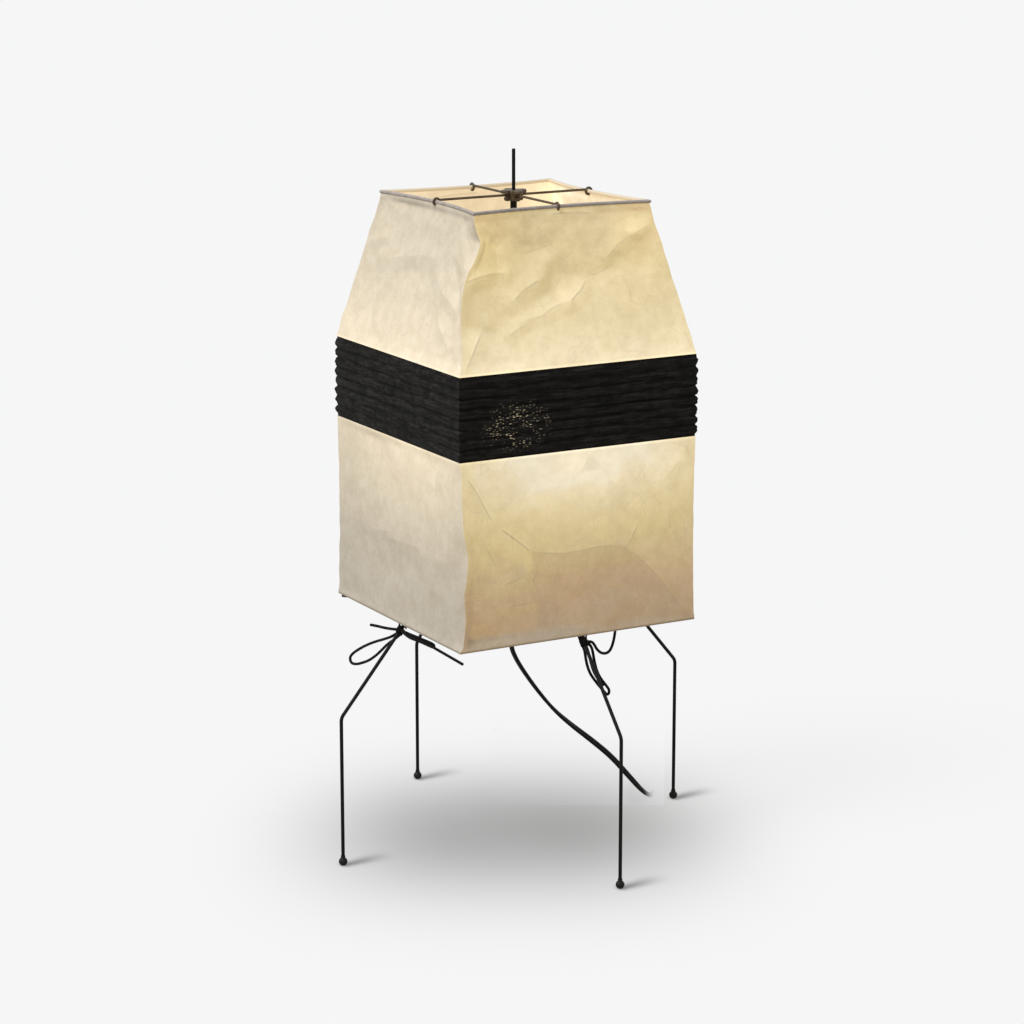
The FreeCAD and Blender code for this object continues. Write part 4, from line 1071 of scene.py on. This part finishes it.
def bandPaper():
    # black paper with painted light on its rib crests and fine pleats, painted shade in the valleys, and
    # pinholes that the bulb shows through, painted as glints
    values = bandLookValues
    material, tree, shader = newMaterial("bandPaper", Specular_IOR_Level=0.12, Emission_Strength=1.0)
    fibres = use(tree, washiFibres, Scale=1.6)
    place = objectPlace(tree)
    sides = axes(tree, steer(tree, "ABSOLUTE", place))
    # painted light on the ribs' crests and painted shade in the valleys between them
    crest = remap(tree, work(tree, "MAXIMUM", sides["X"], sides["Y"]), 0.1287, 0.1302)
    colour = mixed(tree, crest, values["dark"], values["paintedCrestLight"])
    worn = times(tree, remap(tree, fibres["Cloud"], 0.35, 0.68), 0.5)
    colour = mixed(tree, worn, colour, values["worn"])
    # fine pleats that run round the band: painted highlight on their ridges and painted shade between them
    pleats = put(tree, "ShaderNodeMapping", {"Vector": place, "Scale": (0.09, 0.09, 1)}).outputs[0]
    pleats = noiseAt(tree, pleats, 560.0)
    colour = mixed(tree, times(tree, remap(tree, pleats, 0.50, 0.66), 0.75), colour, values["pleatHighlight"])
    colour = mixed(tree, times(tree, remap(tree, pleats, 0.46, 0.34), 0.8), colour, values["dark"])
    stretched = put(tree, "ShaderNodeMapping", {"Vector": place, "Scale": (0.5, 1, 1.5)}).outputs[0]
    grid = {"Vector": stretched, "Scale": 560.0, "Randomness": 1.0}
    holes = put(tree, "ShaderNodeTexVoronoi", grid).outputs
    size = axes(tree, holes["Color"])["X"]
    pinhole = remap(tree, holes["Distance"], times(tree, size, 0.62), 0.0)
    gap = steer(tree, "MULTIPLY", steer(tree, "SUBTRACT", place, values["sparkleMiddle"]), (1.0, 1.0, 1.5))
    within = remap(tree, steer(tree, "LENGTH", gap, output=1), values["sparkleReach"], 0.012)
    thin = remap(tree, noiseAt(tree, place, 85.0), 0.36, 0.56)
    glowing = mixed(tree, times(tree, pinhole, times(tree, within, thin)), (0, 0, 0), values["sparkle"])
    rough = remap(tree, fibres["Cloud"], 0.3, 0.7, *values["roughness"])
    feed(tree, shader, Base_Color=colour, Roughness=rough, Normal=bumped(tree, fibres["Height"], 0.00025),
         Emission_Color=glowing)
    return material


# each finish: dark, light and rubbed colour, roughness range, height of its grain, and the fixed values
finishes = {
    "blackLacquer": ((0.0030, 0.0025, 0.0017), (0.0058, 0.0049, 0.0036), (0.014, 0.012, 0.009),
                     (0.40, 0.52), 0.000004, {"Specular_IOR_Level": 0.12}),
    "footRubber": ((0.005, 0.0045, 0.0035), (0.009, 0.008, 0.0065), (0.022, 0.02, 0.018),
                   (0.42, 0.62), 0.00006, {"Specular_IOR_Level": 0.2}),
    # the hub and the arms: metal, browned with painted warm light from the bulb below
    "hubMetalWithPaintedGlow": ((0.055, 0.040, 0.026), (0.11, 0.082, 0.055), (0.26, 0.19, 0.12),
                  (0.36, 0.56), 0.00004, {"Metallic": 0.55}),
    "armMetalWithPaintedGlow": ((0.070, 0.050, 0.030), (0.125, 0.092, 0.058), (0.30, 0.23, 0.15),
                  (0.34, 0.52), 0.00003, {"Metallic": 0.55}),
    "rimSteel": ((0.15, 0.125, 0.09), (0.22, 0.19, 0.145), (0.36, 0.32, 0.26),
                 (0.38, 0.58), 0.00003, {"Metallic": 0.5}),
    "hoopWire": ((0.014, 0.013, 0.012), (0.028, 0.026, 0.024), (0.10, 0.095, 0.085),
                 (0.36, 0.55), 0.00003, {}),
    "holderBakelite": ((0.011, 0.010, 0.010), (0.020, 0.018, 0.017), (0.04, 0.038, 0.035),
                       (0.24, 0.42), 0.00002, {"Coat_Weight": 0.25}),
    "holderCeramic": ((0.62, 0.60, 0.55), (0.72, 0.70, 0.66), (0.52, 0.48, 0.42),
                      (0.18, 0.34), 0.00002, {"Coat_Weight": 0.4}),
    "contactBrass": ((0.52, 0.37, 0.14), (0.66, 0.50, 0.22), (0.36, 0.24, 0.10),
                     (0.22, 0.42), 0.00002, {"Metallic": 1.0}),
    "screwSteel": ((0.42, 0.41, 0.39), (0.55, 0.54, 0.52), (0.28, 0.27, 0.25),
                   (0.24, 0.44), 0.00002, {"Metallic": 1.0}),
    "capAluminium": ((0.58, 0.58, 0.57), (0.70, 0.70, 0.69), (0.40, 0.39, 0.37),
                     (0.28, 0.46), 0.00002, {"Metallic": 1.0}),
    "tipSolder": ((0.24, 0.24, 0.24), (0.36, 0.36, 0.37), (0.16, 0.15, 0.14),
                  (0.34, 0.52), 0.00004, {"Metallic": 0.8}),
    "cordVinyl": ((0.0020, 0.0017, 0.0012), (0.0042, 0.0036, 0.0027), (0.010, 0.009, 0.0075),
                  (0.38, 0.52), 0.00002, {"Specular_IOR_Level": 0.12}),
    "switchPlastic": ((0.012, 0.012, 0.012), (0.020, 0.020, 0.019), (0.045, 0.044, 0.042),
                      (0.34, 0.52), 0.00006, {}),
    "strapRubber": ((0.014, 0.014, 0.014), (0.024, 0.024, 0.023), (0.05, 0.05, 0.048),
                    (0.46, 0.66), 0.00006, {}),
}


def handledMaterial(name):
    dark, light, rubbed, rough, grain, fixed = finishes[name]
    material, tree, shader = newMaterial(name, **fixed)
    marks = use(tree, handledSurface, Scale=1.0)
    colour = mixed(tree, remap(tree, marks["Smudge"], 0.32, 0.68), dark, light)
    colour = mixed(tree, times(tree, marks["Rubbed"], 0.3), colour, rubbed)
    feed(tree, shader, Base_Color=colour, Roughness=remap(tree, marks["Smudge"], 0.3, 0.7, *rough),
         Normal=bumped(tree, marks["Height"], grain))
    return material


def twistedString():
    # strands that wind along the string, drawn from its own map, with painted shade in the grooves between
    # them
    material, tree, shader = newMaterial("twistedString", Specular_IOR_Level=0.08)
    around = axes(tree, put(tree, "ShaderNodeTexCoord").outputs["UV"])
    run = plus(tree, times(tree, around["X"], 24.0), times(tree, around["Y"], 3.0))
    strand = work(tree, "ABSOLUTE", work(tree, "SINE", times(tree, run, math.pi)))
    marks = use(tree, handledSurface, Scale=2.0)
    # painted shade in the grooves between the strands, lighter on their crowns
    colour = mixed(tree, strand, (0.0018, 0.0015, 0.0012), (0.0052, 0.0045, 0.0037))
    colour = mixed(tree, times(tree, marks["Rubbed"], 0.4), colour, (0.03, 0.027, 0.023))
    normal = bumped(tree, strand, 0.00035)
    normal = bumped(tree, marks["Height"], 0.00012, Normal=normal)
    rough = remap(tree, marks["Smudge"], 0.3, 0.7, 0.62, 0.8)
    feed(tree, shader, Base_Color=colour, Roughness=rough, Normal=normal)
    return material


def warmGlass():
    # the lit bulb: brightest at its belly
    material, tree, shader = newMaterial("warmGlass", Emission_Strength=1.0, Specular_IOR_Level=0.5)
    marks = use(tree, handledSurface, Scale=0.6)
    away = steer(tree, "DISTANCE", objectPlace(tree), glowValues["bulb"], output=1)
    hot = ramp(tree, remap(tree, away, 0.06, 0.02), ((0.0, (0.46, 0.32, 0.15)), (1.0, (0.66, 0.56, 0.38))))
    colour = mixed(tree, marks["Smudge"], (0.28, 0.265, 0.235), (0.34, 0.325, 0.295))
    rough = remap(tree, marks["Smudge"], 0.3, 0.7, 0.12, 0.3)
    feed(tree, shader, Base_Color=colour, Emission_Color=hot, Roughness=rough,
         Normal=bumped(tree, marks["Height"], 0.00001))
    return material


finishOf = {
    "blackLacquer": (*["leg_" + side for side in sideNames], "leg_boss", "post_tube", "post_nut", "top_rod"),
    "footRubber": ["foot_" + side for side in sideNames],
    "hubMetalWithPaintedGlow": ("hub_core", "hub_cap"),
    "armMetalWithPaintedGlow": ["arm_" + side for side in sideNames],
    "rimSteel": ("top_rim_wire", "bottom_rim_wire"),
    "hoopWire": ("band_hoops",),
    "holderBakelite": ("socket_cup", "cord_gland"),
    "holderCeramic": ("socket_insulator",),
    "contactBrass": ("socket_shell", "socket_contact", "plug_blades"),
    "screwSteel": ("socket_bracket", "socket_screws", "switch_screws"),
    "capAluminium": ("bulb_cap",),
    "tipSolder": ("bulb_tip",),
    "switchPlastic": ("switch_base", "switch_cover", "switch_rocker", "plug_body"),
}


def dress(piece, material):
    piece.data.materials.clear()
    piece.data.materials.append(material)


looks = {name: handledMaterial(name) for name in finishes}
stringMaterial = twistedString()
for name, dressed in finishOf.items():
    for node in dressed:
        dress(nodes[node], looks[name])
dress(nodes["bulb_glass"], warmGlass())
dress(upperPaper, washiPaper("washiUpper", washiValues["upperGlow"], washiValues["upperSeam"]))
dress(lowerPaper, washiPaper("washiLower", washiValues["lowerGlow"], washiValues["lowerSeam"]))
dress(nodes["top_rim_binding"], boundRim())
dress(band, bandPaper())
for cord in (cordDrop, cordRest, innerLead):
    dress(cord, looks["cordVinyl"])
for piece in stringPieces:
    dress(piece, stringMaterial)
dress(strap, looks["strapRubber"])
print("materials made")


# Studio: a white floor with the lamp's soft shadow, plain light from the left, lengths in metres

studioValues = {
    "white": 0.9216,
    "bounce": 0.35,              # the floor's grey for the rays that only light the lamp
    "realShare": 0.10,           # part of the floor that takes real light and shadow
    "paintedShare": 0.908,
    "pool": {"middle": (0.000, -0.003), "reach": (0.1876, 0.178), "power": (2.8, 2.0), "depth": 0.322},
    "across": (0.873, -0.488, 0.0),
    "away": (0.488, 0.873, 0.0),
    "streakLength": 0.064,
    "streakWidth": 0.006,
    "streakDepth": 0.30,
    "streakWay": (0.99, 0.14, 0.0),
    "world": 0.35,
    "sunWay": (-0.60, -0.06, 0.80),
    "sunStrength": 2.15,
    "sunAngle": 25.0,
    "sunColour": (0.97, 1.0, 1.07),
    "plain": 0.9647,             # display level of the bare floor
    "steepness": 2.26,           # from display level to light
    "footReach": 0.195,
}


def footPlace(degrees):
    turn = math.radians(degrees + stringValues["standTurn"])
    return studioValues["footReach"] * math.sin(turn), -studioValues["footReach"] * math.cos(turn), 0.0


def makeFootStreak():
    # the short shadow that leads away from a foot
    inputs = {"Place": (0.0, 0.0, 0.0), "Foot": (0.0, 0.0, 0.0)}
    tree, entry, leave = newGroup("footStreak", inputs, {"Shade": "Float"})
    way = Vector(studioValues["streakWay"]).normalized()
    offset = steer(tree, "SUBTRACT", entry["Place"], entry["Foot"])
    along = steer(tree, "DOT_PRODUCT", offset, tuple(way), output=1)
    beside = steer(tree, "DOT_PRODUCT", offset, (-way.y, way.x, 0.0), output=1)
    spread = plus(tree, studioValues["streakWidth"], times(tree, along, 0.10))
    ratio = work(tree, "DIVIDE", beside, spread)
    soft = work(tree, "EXPONENT", times(tree, ratio, ratio, -1.0))
    fade = remap(tree, along, studioValues["streakLength"], 0.0)
    start = remap(tree, along, -0.006, 0.002)
    fill(tree, leave.inputs["Shade"], times(tree, soft, fade, start))
    return tree


def makeFloorShade():
    # the level of the white floor at a place, with the pool of shade under the lamp
    tree, entry, leave = newGroup("floorShade", {"Place": (0.0, 0.0, 0.0)}, {"Level": "Float"})
    pool = studioValues["pool"]
    flat = steer(tree, "MULTIPLY", entry["Place"], (1.0, 1.0, 0.0))
    power = 0.0
    ways = (studioValues["across"], studioValues["away"])
    for way, middle, reach, steep in zip(ways, pool["middle"], pool["reach"], pool["power"]):
        run = less(tree, steer(tree, "DOT_PRODUCT", flat, way, output=1), middle)
        run = work(tree, "ABSOLUTE", work(tree, "DIVIDE", run, reach))
        power = less(tree, power, work(tree, "POWER", run, steep))
    depth = times(tree, work(tree, "EXPONENT", power), pool["depth"])
    for degrees in (0, 90, 180, 270):
        streak = use(tree, footStreak, Place=flat, Foot=footPlace(degrees))["Shade"]
        depth = plus(tree, depth, times(tree, streak, studioValues["streakDepth"]))
    shown = work(tree, "SUBTRACT", studioValues["plain"], depth, clamp=True)
    fill(tree, leave.inputs["Level"], work(tree, "POWER", shown, studioValues["steepness"]))
    return tree


footStreak = makeFootStreak()
floorShade = makeFloorShade()


def seenShare(tree):
    # 1 for the rays that see the backdrop, straight, in a gloss or through glass
    path = put(tree, "ShaderNodeLightPath").outputs
    seen = work(tree, "MAXIMUM", path["Is Camera Ray"], path["Is Glossy Ray"])
    return work(tree, "MAXIMUM", seen, path["Is Transmission Ray"])


def bareMaterial(name):
    material = bpy.data.materials.new(name)
    material.use_nodes = True
    tree = material.node_tree
    tree.nodes.remove(tree.nodes["Principled BSDF"])
    return material, tree, tree.nodes["Material Output"]


def floorMaterial():
    # for the rays that see the backdrop, painted, with a little real light and shadow; grey for the others
    material, tree, leave = bareMaterial("studioFloor")
    place = objectPlace(tree)
    level = use(tree, floorShade, Place=place)["Level"]
    shine = times(tree, level, studioValues["paintedShare"])
    painted = put(tree, "ShaderNodeEmission", {"Color": (1, 1, 1), "Strength": shine}).outputs[0]
    real = studioValues["realShare"]
    paint = mixed(tree, noiseAt(tree, place, 260.0), (real * 0.95,) * 3, (real * 0.97,) * 3)
    matt = put(tree, "ShaderNodeBsdfDiffuse", {"Color": paint}).outputs[0]
    shown = put(tree, "ShaderNodeAddShader", {0: painted, 1: matt}).outputs[0]
    lighting = put(tree, "ShaderNodeBsdfDiffuse", {"Color": (studioValues["bounce"],) * 3}).outputs[0]
    choice = put(tree, "ShaderNodeMixShader", {0: seenShare(tree), 1: lighting, 2: shown}).outputs[0]
    fill(tree, leave.inputs["Surface"], choice)
    return material


# A low card that hides the switch, the stored cord and the plug from the photograph's viewpoint.
# From other front views it shows as a pale patch, and it can hide a stretch of the cord.
cardValues = {
    "away": 0.080, "left": -0.030, "right": 0.1575, "height": 0.118,
    "opening": (0.1275, 0.0125), "openingReach": (0.007, 0.019),   # where the cord comes through
    "edge": 0.014, "rightEdge": 0.003,
    "carry": 3.03,               # floor lengths to a length of height, worked out for that viewpoint
    "paintedFloorLight": 0.0848,         # painted in for what the floor's real share adds outside the card
    "dimmed": (0.60, 0.92, 0.83, 1.0),
}


def cardMaterial():
    # one-sided, with the floor's shade painted on up its height
    values = cardValues
    material, tree, leave = bareMaterial("studioCard")
    place = objectPlace(tree)
    height = axes(tree, place)["Z"]
    upward = Vector(studioValues["away"]) * values["carry"] - Vector((0, 0, 1))
    landed = steer(tree, "ADD", place, scaled(tree, tuple(upward), height))
    level = use(tree, floorShade, Place=landed)["Level"]
    paintedLamplight = times(tree, remap(tree, level, *values["dimmed"]), values["paintedFloorLight"])
    shown = plus(tree, times(tree, level, studioValues["paintedShare"]), paintedLamplight)
    painted = put(tree, "ShaderNodeEmission", {"Color": (1, 1, 1), "Strength": shown}).outputs[0]
    across = steer(tree, "DOT_PRODUCT", place, studioValues["across"], output=1)
    gapX, gapZ = (less(tree, *pair) for pair in zip((across, height), values["opening"]))
    gap = work(tree, "SQRT", plus(tree, times(tree, gapX, gapX), times(tree, gapZ, gapZ)))
    cover = times(
        tree, remap(tree, gap, *values["openingReach"]),
        remap(tree, across, values["left"], values["left"] + values["edge"]),
        remap(tree, across, values["right"], values["right"] - values["rightEdge"]),
        remap(tree, height, values["height"], values["height"] - values["edge"]),
        less(tree, 1.0, put(tree, "ShaderNodeNewGeometry").outputs["Backfacing"]), seenShare(tree))
    clear = put(tree, "ShaderNodeBsdfTransparent").outputs[0]
    choice = put(tree, "ShaderNodeMixShader", {0: cover, 1: clear, 2: painted}).outputs[0]
    fill(tree, leave.inputs["Surface"], choice)
    return material


def studio():
    bpy.ops.mesh.primitive_plane_add(size=40, location=(0, 0, -0.0002))
    floor = renamed("studioFloor")
    floor.data.materials.append(floorMaterial())
    values = cardValues
    across, away = Vector(studioValues["across"]), Vector(studioValues["away"])
    bpy.ops.mesh.primitive_plane_add(size=1, location=(0, 0, 0))
    card = renamed("studioCard")
    low, high = values["left"], values["right"]
    for point, (run, rise) in zip(card.data.vertices, ((low, 0), (high, 0), (low, 1), (high, 1))):
        point.co = across * run + away * values["away"] + Vector((0, 0, rise * values["height"]))
    card.data.materials.append(cardMaterial())

    world = bpy.data.worlds.new("studioLight")
    bpy.context.scene.world = world
    world.use_nodes = True
    tree = world.node_tree
    sky = tree.nodes["Background"]
    fill(tree, sky.inputs["Color"], (1, 1, 1))
    levels = {"Value": seenShare(tree), "To Min": studioValues["world"], "To Max": studioValues["white"]}
    fill(tree, sky.inputs["Strength"], put(tree, "ShaderNodeMapRange", levels).outputs["Result"])
    way = Vector(studioValues["sunWay"])
    bpy.ops.object.light_add(type="SUN", location=way * 2, rotation=way.to_track_quat("Z", "Y").to_euler())
    sun = renamed("keyLight")
    sun.data.energy = studioValues["sunStrength"]
    sun.data.angle = math.radians(studioValues["sunAngle"])
    sun.data.color = studioValues["sunColour"]
    bpy.context.scene.view_settings.view_transform = "Standard"


studio()
print("studio lit")
